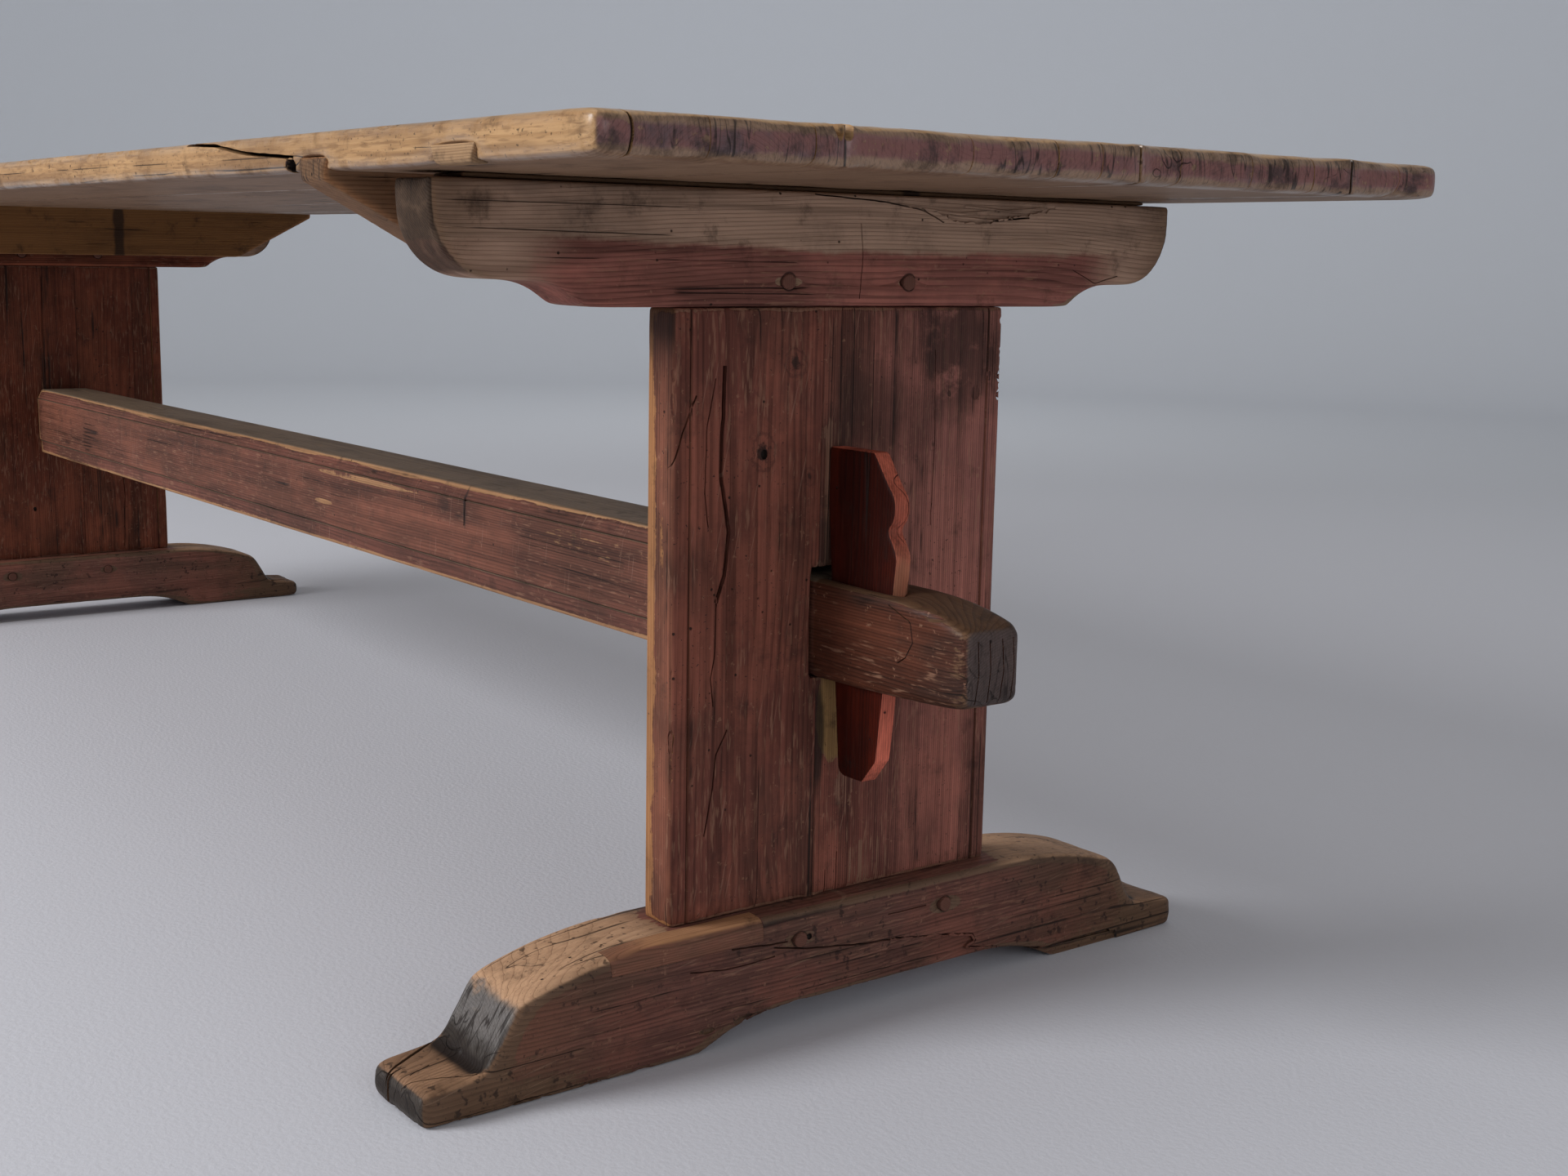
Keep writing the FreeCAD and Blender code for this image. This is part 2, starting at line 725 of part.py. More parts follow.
def stretcher_section():
    half = "stretcher_width / 2"
    sunk = f"{half} - band_depth"
    right = [
        (sunk, "stretcher_low"),
        (sunk, "stretcher_low + band_height"),
        (half, "stretcher_low + band_height + band_quirk"),
        (half, "stretcher_top - bevel_height"),
        (f"{half} - bevel_width", "stretcher_top"),
    ]
    left = [(f"-({across})", level) for across, level in reversed(right)]
    return right + left


def tenon_outline(sign):
    # Side view of one tenon: level inside the panel, then worn to a smaller tip
    under_run, under_rise = tangent_middle("tenon_reach", "tenon_tip_rise")
    top_run, top_drop = tangent_middle("tenon_reach - tenon_flat", "tenon_tip_drop")
    return [
        (f"{sign} * (panel_in - panel_thickness)", "tenon_low"),
        (f"{sign} * panel_out", "tenon_low"),
        (f"{sign} * tenon_end", "tenon_low + tenon_tip_rise",
         f"{sign} * (panel_out + {under_run})", f"tenon_low + {under_rise}"),
        (f"{sign} * tenon_end", "tenon_tip_top"),
        (f"{sign} * (panel_out + tenon_flat)", "tenon_top",
         f"{sign} * (panel_out + tenon_flat + {top_run})", f"tenon_top - {top_drop}"),
        (f"{sign} * (panel_in - panel_thickness)", "tenon_top"),
    ]


def stretcher_blank():
    body = new_body("stretcher_blank")
    pad(body, "stretcher_beam", "YZ_Plane", stretcher_section(), "2 * panel_in", two_sided=True)
    pad(body, "right_tenon", "XZ_Plane", tenon_outline(1), "tenon_width", two_sided=True)
    pad(body, "left_tenon", "XZ_Plane", tenon_outline(-1), "tenon_width", two_sided=True)
    cheek = worth("tenon_width / 2")
    face = worth("panel_in")
    tip = worth("tenon_end")

    def worn(middle, way):
        on_tip = near(abs(middle.x), tip)
        along = near(abs(middle.y), cheek) and abs(middle.x) > face and abs(way.x) > abs(way.z)
        return on_tip or along

    rounded(body, "tenon_round", "tenon_arris", worn)
    return body


def make_stretcher():
    slots = [wedge_slot("right_slot"), wedge_slot("left_slot")]
    slots[1].Placement = half_turn
    return cut("stretcher", stretcher_blank(), slots)


right_pieces = make_trestle("right", "right_arch_shift")
left_pieces = make_trestle("left", "0")
for piece in left_pieces.values():
    piece.Placement = half_turn
foot_pair = let_in("right_foot_repair_strip", "right_foot", right_pieces["right_foot"], strip_plug())
right_pieces.update(foot_pair)
pieces = {**make_top(), **right_pieces, **left_pieces, "stretcher": make_stretcher()}
doc.recompute()

for item in doc.Objects:
    if "Invalid" in item.State or "Error" in item.State:
        raise RuntimeError(f"{item.Name} did not build: {item.State}")
for name, piece in pieces.items():
    if piece.Shape.isNull() or not piece.Shape.isValid():
        raise RuntimeError(f"{name} has no valid shape")

os.makedirs("parts", exist_ok=True)
for piece in pieces.values():
    piece.Shape.exportStep(f"parts/{piece.Label}.step")
    box = piece.Shape.BoundBox
    spans = [round(value, 1) for value in (box.XMin, box.XMax, box.YMin, box.YMax, box.ZMin, box.ZMax)]
    print(piece.Label, len(piece.Shape.Solids), "solids", round(piece.Shape.Volume / 1000), "cm3", spans)
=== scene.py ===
import json
import math
from functools import cached_property

import bmesh
import bpy
import numpy as np
from mathutils import Matrix, Vector


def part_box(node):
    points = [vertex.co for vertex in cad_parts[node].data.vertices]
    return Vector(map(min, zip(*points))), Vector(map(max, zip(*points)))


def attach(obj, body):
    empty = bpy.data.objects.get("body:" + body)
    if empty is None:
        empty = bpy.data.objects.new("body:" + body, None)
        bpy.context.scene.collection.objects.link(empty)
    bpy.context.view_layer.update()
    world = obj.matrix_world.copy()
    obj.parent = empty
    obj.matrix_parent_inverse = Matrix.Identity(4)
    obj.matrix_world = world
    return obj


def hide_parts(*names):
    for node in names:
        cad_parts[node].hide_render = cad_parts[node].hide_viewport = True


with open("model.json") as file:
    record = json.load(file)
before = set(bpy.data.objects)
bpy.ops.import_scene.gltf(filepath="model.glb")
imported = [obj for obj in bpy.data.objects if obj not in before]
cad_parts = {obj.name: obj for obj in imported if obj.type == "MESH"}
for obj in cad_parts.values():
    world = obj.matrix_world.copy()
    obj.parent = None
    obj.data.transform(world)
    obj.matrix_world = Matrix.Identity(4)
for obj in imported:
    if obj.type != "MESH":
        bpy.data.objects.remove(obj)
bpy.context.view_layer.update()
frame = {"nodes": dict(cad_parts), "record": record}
scene = bpy.context.scene
record = frame["record"]
bodyOf = {node: body for body, nodes in record["behaviour"]["bodies"].items() for node in nodes}
alongX, alongY, alongZ = 0, 1, 2
print("frame loaded:", len(frame["nodes"]), "nodes")


class Wire:
    # A socket that takes part in Python sums

    def __init__(self, tree, socket):
        self.tree = tree
        self.socket = socket

    def sum(self, operation, *values):
        return self.tree.node("ShaderNodeMath", {"operation": operation}, dict(enumerate(values)))

    def __add__(self, other):
        return self.sum("ADD", self, other)

    def __sub__(self, other):
        return self.sum("SUBTRACT", self, other)

    def __rsub__(self, other):
        return self.sum("SUBTRACT", other, self)

    def __mul__(self, other):
        return self.sum("MULTIPLY", self, other)

    def __truediv__(self, other):
        return self.sum("DIVIDE", self, other)

    def __pow__(self, other):
        return self.sum("POWER", self, other)

    __radd__ = __add__
    __rmul__ = __mul__

    def size(self):
        return self.sum("ABSOLUTE", self)

    def most(self, other):
        return self.sum("MAXIMUM", self, other)

    def least(self, other):
        return self.sum("MINIMUM", self, other)

    def part(self):
        return self.sum("FRACT", self)

    def step(self, low, high):
        # A smooth rise from low to high, or a fall where low is the larger
        if low > high:
            return 1 - self.step(high, low)
        return self.tree.node("ShaderNodeMapRange", {"interpolation_type": "SMOOTHSTEP"},
                              {"Value": self, "From Min": low, "From Max": high})


class Tree:
    # A node tree, for finishes and for geometry alike

    def __init__(self, tree):
        self.tree = tree

    def node(self, kind, settings=None, inputs=None, out=0):
        made = self.tree.nodes.new(kind)
        for name, value in (settings or {}).items():
            setattr(made, name, value)
        for key, value in (inputs or {}).items():
            if isinstance(value, Wire):
                self.tree.links.new(value.socket, made.inputs[key])
            elif value is not None:
                made.inputs[key].default_value = value
        return Wire(self, made.outputs[out]) if len(made.outputs) else made

    def entry(self, **kinds):
        # Named inputs of a geometry tree: their wires and their identifiers
        face = self.tree.interface
        face.new_socket("Geometry", in_out="INPUT", socket_type="NodeSocketGeometry")
        sockets = {name: face.new_socket(name, in_out="INPUT", socket_type="NodeSocket" + kind).identifier
                   for name, kind in kinds.items()}
        face.new_socket("Geometry", in_out="OUTPUT", socket_type="NodeSocketGeometry")
        made = self.tree.nodes.new("NodeGroupInput")
        return {socket.name: Wire(self, socket) for socket in made.outputs if socket.name}, sockets

    def leave(self, geometry, finish):
        solid = self.node("GeometryNodeRealizeInstances", None, {0: geometry})
        solid = self.node("GeometryNodeSetMaterial", None, {"Geometry": solid, "Material": finish})
        self.tree.links.new(solid.socket, self.tree.nodes.new("NodeGroupOutput").inputs[0])

    def vector(self, operation, first, second=None, out=0, scale=None):
        inputs = {0: first, 1: second, "Scale": scale}
        return self.node("ShaderNodeVectorMath", {"operation": operation}, inputs, out)

    def split(self, vector):
        cut = self.node("ShaderNodeSeparateXYZ", None, {0: vector})
        return [Wire(self, socket) for socket in cut.socket.node.outputs]

    def pack(self, x, y, z):
        return self.node("ShaderNodeCombineXYZ", None, {0: x, 1: y, 2: z})

    def noise(self, vector, scale=1.0, detail=3.0, rough=0.5):
        return self.node("ShaderNodeTexNoise", None,
                         {"Vector": vector, "Scale": scale, "Detail": detail, "Roughness": rough})

    def mix(self, factor, first, second, blend="MIX"):
        colours = [(*c, 1) if isinstance(c, tuple) and len(c) == 3 else c for c in (first, second)]
        settings = {"data_type": "RGBA", "blend_type": blend}
        return self.node("ShaderNodeMix", settings, {0: factor, 6: colours[0], 7: colours[1]}, 2)


# Camera, at the photograph's place

view = dict(place=(2.4744, -1.0553, 0.6819), heading=143.0, pitch=-9.85, roll=1.06, lens=44.07, sensor=36.0)


def makeCamera():
    heading, pitch, roll = (math.radians(view[key]) for key in ("heading", "pitch", "roll"))
    quarter = math.pi / 2
    turn = (Matrix.Rotation(heading - quarter, 4, "Z") @ Matrix.Rotation(quarter + pitch, 4, "X")
            @ Matrix.Rotation(roll, 4, "Z"))
    camera = linked("camera", bpy.data.cameras.new("camera"))
    camera.data.lens = view["lens"]
    camera.data.sensor_width = view["sensor"]
    camera.data.sensor_fit = "HORIZONTAL"
    camera.matrix_world = Matrix.Translation(view["place"]) @ turn
    scene.camera = camera


# Studio: a round floor that sweeps up into a wall, and soft lamps

studio = dict(floorReach=7.5, sweep=2.5, wallHeight=6.0, rings=14, sides=96, daylight=0.27,
              daylightColour=(1.0, 0.965, 0.92, 1), blend=(1.5, 6.0), tooth=0.0005,
              floorColour=(0.655, 0.665, 0.725), wallColour=(0.665, 0.695, 0.75))
lamps = (
    dict(name="keyLamp", place=(-1.3, -6.0, 3.6), aim=(0.3, 0, 0.4), size=3.2, power=400),
    dict(name="topLamp", place=(-0.6, -0.4, 5.4), aim=(0, 0, 0.5), size=4.0, power=24),
    dict(name="fillLamp", place=(5.6, -0.4, 1.9), aim=(0.9, 0, 0.5), size=3.0, power=38),
    dict(name="wallLamp", place=(-3.2, 3.0, 3.4), aim=(-6.6, 5.4, 2.0), size=2.4, power=30),
)


def newMaterial(name):
    material = bpy.data.materials.new(name)
    material.use_nodes = True
    return material, Tree(material.node_tree), material.node_tree.nodes["Principled BSDF"]


def setShader(tree, shader, colour, rough, height=None, depth=0.001):
    for name, value in (("Base Color", colour), ("Roughness", rough)):
        if isinstance(value, Wire):
            tree.tree.links.new(value.socket, shader.inputs[name])
        else:
            shader.inputs[name].default_value = value
    if height is not None:
        bump = tree.node("ShaderNodeBump", None, {"Distance": depth, "Height": height})
        tree.tree.links.new(bump.socket, shader.inputs["Normal"])


def makeStudio():
    profile = [(studio["floorReach"] * step / 4, 0.0) for step in range(5)]
    for step in range(1, studio["rings"] + 1):
        angle = math.pi / 2 * step / studio["rings"]
        out = studio["floorReach"] + studio["sweep"] * math.sin(angle)
        profile.append((out, studio["sweep"] * (1 - math.cos(angle))))
    profile.append((studio["floorReach"] + studio["sweep"], studio["wallHeight"]))
    turn = 2 * math.pi / studio["sides"]
    points = [(out * math.cos(turn * side), out * math.sin(turn * side), up)
              for out, up in profile[1:] for side in range(studio["sides"])]
    points.append((0, 0, 0))
    faces = []
    for side in range(studio["sides"]):
        after = (side + 1) % studio["sides"]
        faces.append((len(points) - 1, side, after))
        for ring in range(len(profile) - 2):
            low = ring * studio["sides"]
            high = low + studio["sides"]
            faces.append((low + side, high + side, high + after, low + after))
    mesh = bpy.data.meshes.new("studioFloor")
    mesh.from_pydata(points, [], faces)
    mesh.shade_smooth()
    floor = linked("studioFloor", mesh)

    material, tree, shader = newMaterial("studioPaper")
    spot = tree.node("ShaderNodeTexCoord", out=3)
    outward = tree.vector("LENGTH", spot, out=1)
    colour = tree.mix(outward.step(*studio["blend"]), studio["floorColour"], studio["wallColour"])
    setShader(tree, shader, colour, 0.8, tree.noise(spot, 190, 3), studio["tooth"])
    mesh.materials.append(material)

    world = bpy.data.worlds.new("studioWorld")
    world.use_nodes = True
    backdrop = world.node_tree.nodes["Background"]
    backdrop.inputs["Color"].default_value = studio["daylightColour"]
    backdrop.inputs["Strength"].default_value = studio["daylight"]
    scene.world = world
    for lamp in lamps:
        data = bpy.data.lights.new(lamp["name"], "AREA")
        data.shape = "DISK"
        data.size = lamp["size"]
        data.energy = lamp["power"]
        light = linked(lamp["name"], data)
        aim = Vector(lamp["aim"]) - Vector(lamp["place"])
        turn = aim.to_track_quat("-Z", "Y").to_matrix().to_4x4()
        light.matrix_world = Matrix.Translation(lamp["place"]) @ turn
    scene.view_settings.view_transform = "Standard"


# Finishes

class Timber(Tree):
    # Old wood of one piece: its grain, wear and marks at their real size

    def __init__(self, name, along, seed, pith, ring):
        self.material, tree, self.shader = newMaterial(name)
        super().__init__(tree.tree)
        self.spot = self.node("ShaderNodeTexCoord", out=3)
        self.place = self.split(self.spot)
        self.x, self.y, self.z = self.place
        shift = seed * 3.7
        self.length, self.across, self.deep = self.place[along:] + self.place[:along]
        self.far, self.wide, self.low = self.length + shift, self.across + shift, self.deep - shift
        self.loose = self.vector("ADD", self.spot, (shift, -shift, shift * 0.5))
        self.pith = pith
        self.ring = ring

    @cached_property
    def normal(self):
        return self.split(self.node("ShaderNodeNewGeometry", out=1))

    @cached_property
    def arris(self):
        return self.node("ShaderNodeAttribute", {"attribute_name": "arris"}, out=2)

    def lengthwise(self, along, across, detail, rough):
        # Noise drawn out along the grain
        spot = self.pack(self.far * along, self.wide * across, self.low * across)
        return self.noise(spot, 1, detail, rough)

    @cached_property
    def fibre(self):
        return self.lengthwise(4, 330, 4, 0.65)

    @cached_property
    def streaks(self):
        return self.lengthwise(2.4, 55, 4, 0.6)

    @cached_property
    def patches(self):
        return self.lengthwise(5, 14, 4, 0.62)

    @cached_property
    def flecks(self):
        return self.lengthwise(45, 380, 2, 0.5)

    @cached_property
    def blots(self):
        return self.noise(self.loose, 10, 6, 0.66)

    @cached_property
    def smudges(self):
        return self.noise(self.loose, 24, 6, 0.7)

    @cached_property
    def speckle(self):
        return self.noise(self.loose, 130, 3, 0.7)

    @cached_property
    def late(self):
        # Late wood of each year's ring, from the distance to a wandering pith
        bend = self.noise(self.pack(self.far * 1.4, self.across * 5, self.deep * 5), 1, 2) - 0.5
        away = ((self.across - self.pith[0] + bend * 0.03) ** 2
                + (self.deep - self.pith[1] + bend * 0.02) ** 2) ** 0.5
        year = (away / self.ring + (self.streaks - 0.5) * 0.8).part()
        return year.step(0.35, 0.9) * year.step(1.0, 0.92)

    def noises(self, scale):
        return self.noise(self.loose, scale, 2, 0.6)

    def facing(self, axis, way=0):
        # 1 where the face looks along an axis; a way of 0 takes both
        look = self.normal[axis] * way if way else self.normal[axis].size()
        return look.step(0.5, 0.8)

    def grain(self, early, late, dark, rings=0.55):
        colour = self.mix(self.late * rings, early, late)
        colour = self.mix(self.fibre.step(0.42, 0.70) * 0.6, colour, late)
        colour = self.mix(self.patches.step(0.46, 0.76) * 0.6, colour, dark)
        return self.mix(self.smudges.step(0.54, 0.76) * 0.45, colour, dark)

    def coat(self, dull, warm, brown, thin=0.4, under=(0.33, 0.175, 0.11)):
        # Thin old paint: mottled, with the grain showing through and short worn dashes
        colour = self.mix(self.blots.step(0.40, 0.60), dull, warm)
        colour = self.mix(self.patches.step(0.44, 0.64) * 0.85, colour, brown)
        shade = self.streaks * 1.4 + self.fibre * 1.4 - self.late * 0.28 - 0.40
        colour = self.mix(1.0, colour, shade, "MULTIPLY")
        dashes = self.flecks.step(0.56, 0.70) * self.blots.step(0.58, 0.44)
        specks = self.speckle.step(0.62, 0.68) * self.smudges.step(0.44, 0.54)
        return self.mix(dashes.most(specks) * thin, colour, under)

    def checks(self, width, share):
        # Hairline cracks along the grain
        wave = self.lengthwise(0.35, 42, 1.5, 0.4)
        line = (wave - 0.5).size().step(width, 0)
        return line * self.patches.step(share, share + 0.08)

    def endChecks(self, across, down, seed=0.0):
        # Short cracks of end grain, running down the face
        wave = self.noise(self.pack(across * 75 + seed, down * 9, seed), 1, 2, 0.5)
        fine = self.noise(self.pack(across * 260 + seed, down * 30, seed), 1, 2, 0.5)
        wide = (wave - 0.5).size().step(0.022, 0.004) * self.blots.step(0.42, 0.52)
        return wide.most((fine - 0.5).size().step(0.03, 0) * 0.5)

    def pits(self, scale=75, share=0.10):
        # Worm holes and small knocks
        cells = {"Vector": self.loose, "Scale": scale}
        near = self.node("ShaderNodeTexVoronoi", None, cells, 0)
        tint = self.split(self.node("ShaderNodeTexVoronoi", None, cells, 1))[0]
        return near.step(0.12, 0.06) * tint.step(share + 0.01, share)

    def scratches(self, first, second, angle, seed=0.0):
        # Pale thin scores at an angle on a face
        along = first * math.cos(angle) + second * math.sin(angle)
        over = second * math.cos(angle) - first * math.sin(angle)
        line = self.noise(self.pack(along * 14 + seed, over * 420, seed), 1, 1, 0.4)
        return line.step(0.68, 0.75)

    def knot(self, first, second, at, radius):
        # A dark eye in a paler, ragged ring
        away = (((first - at[0]) / radius) ** 2 + ((second - at[1]) / (radius * 1.35)) ** 2) ** 0.5
        away = away + (self.speckle - 0.5) * 1.3 + (self.smudges - 0.5) * 2.2
        return away.step(0.6, 0.2).most((away - 1.0).size().step(0.25, 0.05) * 0.4)

    def oval(self, middle, reach, ragged=0.5, edge=0.3):
        # A blot at a place in the frame; a reach of None runs right through
        total = None
        for value, centre, half in zip(self.place, middle, reach):
            if half is not None:
                term = ((value - centre) / half) ** 2
                total = term if total is None else total + term
        rough = (self.blots - 0.5) * ragged * 1.6 + (self.streaks - 0.5) * ragged * 1.2
        return ((total ** 0.5) + rough).step(1 + edge, 1 - edge)

    def wearing(self, keep, rub=0.5, extra=None):
        # Where paint has gone: at random along the grain, on the arrises, and where extra says
        wear = self.streaks * 0.45 + self.patches * 0.4 + self.fibre * 0.25 + self.speckle * 0.2 - 0.65
        wear = wear + self.arris.step(0.15, 0.9) * rub
        if extra is not None:
            wear = wear + extra
        return wear.step(keep, keep + 0.05)

    def close(self, colour, bare, marks=None, gloss=0.0, rough=0.62, depth=0.0016, split=(0.010, 0.54),
              shine=0.0):
        # Grime, painted shade, cracks and pits over a colour, with the relief that goes with them
        # Painted shade inside cuts and in hollows of the surface, where some grime sits too
        hollow = self.arris.step(-0.12, -0.8)
        cracks = self.checks(*split)
        holes = self.pits()
        dark = hollow.most(cracks * 0.85).most(holes * 0.9).most(self.blots.step(0.60, 0.80) * 0.45)
        dark = dark.most(self.smudges.step(0.54, 0.74) * 0.5)
        if marks is not None:
            dark = dark.most(marks)
        colour = self.mix(dark, colour, sootAndShade)
        relief = self.fibre * 0.3 + self.late * 0.18 + self.speckle * 0.12 - bare * 0.15
        relief = relief - cracks * 0.9 - holes
        worn = self.arris.step(0.1, 0.7)
        setShader(self, self.shader, colour, rough + self.streaks * 0.2 - worn * 0.16, relief, depth)
        self.shader.inputs["Specular IOR Level"].default_value = 0.12
        self.shader.inputs["Coat Weight"].default_value = gloss
        self.shader.inputs["Coat Roughness"].default_value = 0.38
        if shine:
            # Wax that hands have polished on the arrises
            wax = worn * self.smudges.step(0.62, 0.42) * shine + gloss
            self.tree.links.new(wax.socket, self.shader.inputs["Coat Weight"])
            self.shader.inputs["Coat Roughness"].default_value = 0.29
        return self.material


# Bare wood by its early wood, late wood and dark patches, and paint by its dull, warm and brown parts
# Near-black for grime and for the painted shade in hollows and cuts
sootAndShade = (0.018, 0.012, 0.010)
ochre = dict(early=(0.42, 0.195, 0.08), late=(0.24, 0.10, 0.043), dark=(0.085, 0.038, 0.02))
honey = dict(early=(0.51, 0.305, 0.145), late=(0.36, 0.195, 0.083), dark=(0.17, 0.088, 0.04), rings=0.4)
greyed = dict(early=(0.50, 0.325, 0.228), late=(0.32, 0.205, 0.14), dark=(0.15, 0.094, 0.065))
umber = dict(early=(0.15, 0.082, 0.042), late=(0.085, 0.044, 0.023), dark=(0.05, 0.026, 0.014))
tread = dict(early=(0.56, 0.34, 0.205), late=(0.36, 0.205, 0.12), dark=(0.10, 0.057, 0.034), rings=0.35)
slate = dict(early=(0.165, 0.157, 0.152), late=(0.085, 0.078, 0.075), dark=(0.04, 0.035, 0.033), rings=0.1)
sooted = dict(early=(0.055, 0.034, 0.022), late=(0.032, 0.019, 0.012), dark=(0.018, 0.01, 0.007))
shaded = dict(early=(0.30, 0.185, 0.115), late=(0.19, 0.108, 0.064), dark=(0.10, 0.055, 0.032))
patched = dict(early=(0.42, 0.26, 0.14), late=(0.26, 0.15, 0.075), dark=(0.12, 0.07, 0.04))
sand = dict(early=(0.26, 0.14, 0.075), late=(0.17, 0.085, 0.045), dark=(0.085, 0.045, 0.026))
tawny = dict(early=(0.23, 0.105, 0.036), late=(0.125, 0.055, 0.020), dark=(0.06, 0.028, 0.012))
reddened = dict(early=(0.26, 0.13, 0.085), late=(0.17, 0.08, 0.052), dark=(0.09, 0.045, 0.03))
olive = dict(early=(0.36, 0.205, 0.08), late=(0.21, 0.115, 0.045), dark=(0.06, 0.036, 0.018))
trodden = dict(early=(0.17, 0.098, 0.062), late=(0.11, 0.062, 0.04), dark=(0.06, 0.035, 0.024))
stepped = dict(early=(0.36, 0.205, 0.12), late=(0.21, 0.115, 0.066), dark=(0.08, 0.045, 0.03))
tarred = dict(early=(0.028, 0.024, 0.021), late=(0.019, 0.016, 0.014), dark=(0.011, 0.009, 0.008))
fresh = dict(early=(0.46, 0.235, 0.12), late=(0.30, 0.145, 0.072), dark=(0.10, 0.052, 0.03))
rubbed = dict(early=(0.40, 0.215, 0.105), late=(0.25, 0.12, 0.056), dark=(0.10, 0.048, 0.026))
dusty = dict(early=(0.20, 0.145, 0.10), late=(0.125, 0.085, 0.058), dark=(0.06, 0.04, 0.028))
tenonSide = dict(early=(0.20, 0.105, 0.055), late=(0.09, 0.045, 0.025), dark=(0.035, 0.018, 0.01))
tenonTop = dict(early=(0.065, 0.034, 0.02), late=(0.04, 0.02, 0.012), dark=(0.02, 0.01, 0.006))
tenonEnd = dict(early=(0.105, 0.076, 0.07), late=(0.065, 0.047, 0.042), dark=(0.032, 0.022, 0.02))
wedgeBare = dict(early=(0.44, 0.21, 0.12), late=(0.34, 0.14, 0.078), dark=(0.26, 0.09, 0.05))
deepRed = dict(dull=(0.135, 0.044, 0.031), warm=(0.215, 0.07, 0.046), brown=(0.10, 0.039, 0.027))
farRed = dict(dull=(0.125, 0.034, 0.018), warm=(0.20, 0.057, 0.029), brown=(0.09, 0.03, 0.016))
# A paler, lit copy of the deep red, for the painted light on the near panel
litRed = dict(dull=(0.28, 0.11, 0.088), warm=(0.37, 0.142, 0.11), brown=(0.18, 0.073, 0.056))
clearRed = dict(dull=(0.25, 0.096, 0.075), warm=(0.33, 0.122, 0.092), brown=(0.165, 0.066, 0.05))
brownRed = dict(dull=(0.135, 0.058, 0.044), warm=(0.19, 0.073, 0.052), brown=(0.105, 0.055, 0.038))
edgeRed = dict(dull=(0.17, 0.06, 0.038), warm=(0.22, 0.08, 0.048), brown=(0.085, 0.035, 0.022))
beamRed = dict(dull=(0.14, 0.052, 0.034), warm=(0.18, 0.066, 0.041), brown=(0.105, 0.042, 0.027))
mouldRed = dict(dull=(0.115, 0.042, 0.03), warm=(0.14, 0.05, 0.036), brown=(0.08, 0.034, 0.024))
tenonRed = dict(dull=(0.082, 0.026, 0.014), warm=(0.11, 0.034, 0.018),
                brown=(0.055, 0.024, 0.016), thin=0.55)
wedgeDark = dict(dull=(0.05, 0.005, 0.0015), warm=(0.08, 0.008, 0.002),
                 brown=(0.03, 0.003, 0.001), thin=0.03)
wedgeBright = dict(dull=(0.54, 0.132, 0.083), warm=(0.64, 0.16, 0.10),
                   brown=(0.42, 0.105, 0.064), thin=0.15)
farBrown = dict(dull=(0.18, 0.077, 0.056), warm=(0.25, 0.096, 0.066), brown=(0.14, 0.072, 0.049))


# Meshes: a worn copy of each CAD node, on a grid that is long along the grain

mergeGap = 1e-5  # closer corners of a CAD mesh are one corner
sharpTurn = math.radians(50)  # a steeper turn between faces stays a hard line
noJoint = 9.0  # a place far off the table
crackClear, flakeClear, bedClear = 0.007, 0.008, 0.02  # how far a cutter stands out of the wood


def linked(name, data):
    made = bpy.data.objects.new(name, data)
    scene.collection.objects.link(made)
    return made


def evaluated(made):
    bpy.context.view_layer.update()
    result = bpy.data.meshes.new_from_object(made.evaluated_get(bpy.context.evaluated_depsgraph_get()))
    made.modifiers.clear()
    made.data = result
    return made


def gridCopy(name, nodes, along, voxel, stretch):
    shape = bmesh.new()
    for node in nodes:
        before = set(shape.verts)
        shape.from_mesh(frame["nodes"][node].data)
        added = [spot for spot in shape.verts if spot not in before]
        bmesh.ops.remove_doubles(shape, verts=added, dist=mergeGap)
    mesh = bpy.data.meshes.new(name)
    shape.to_mesh(mesh)
    shape.free()
    squeeze = [1, 1, 1, 1]
    squeeze[along] = 1 / stretch
    mesh.transform(Matrix.Diagonal(squeeze))
    made = linked(name, mesh)
    grid = made.modifiers.new("grid", "REMESH")
    grid.mode = "VOXEL"
    grid.voxel_size = voxel
    evaluated(made)
    made.data.transform(Matrix.Diagonal(squeeze).inverted())
    return made


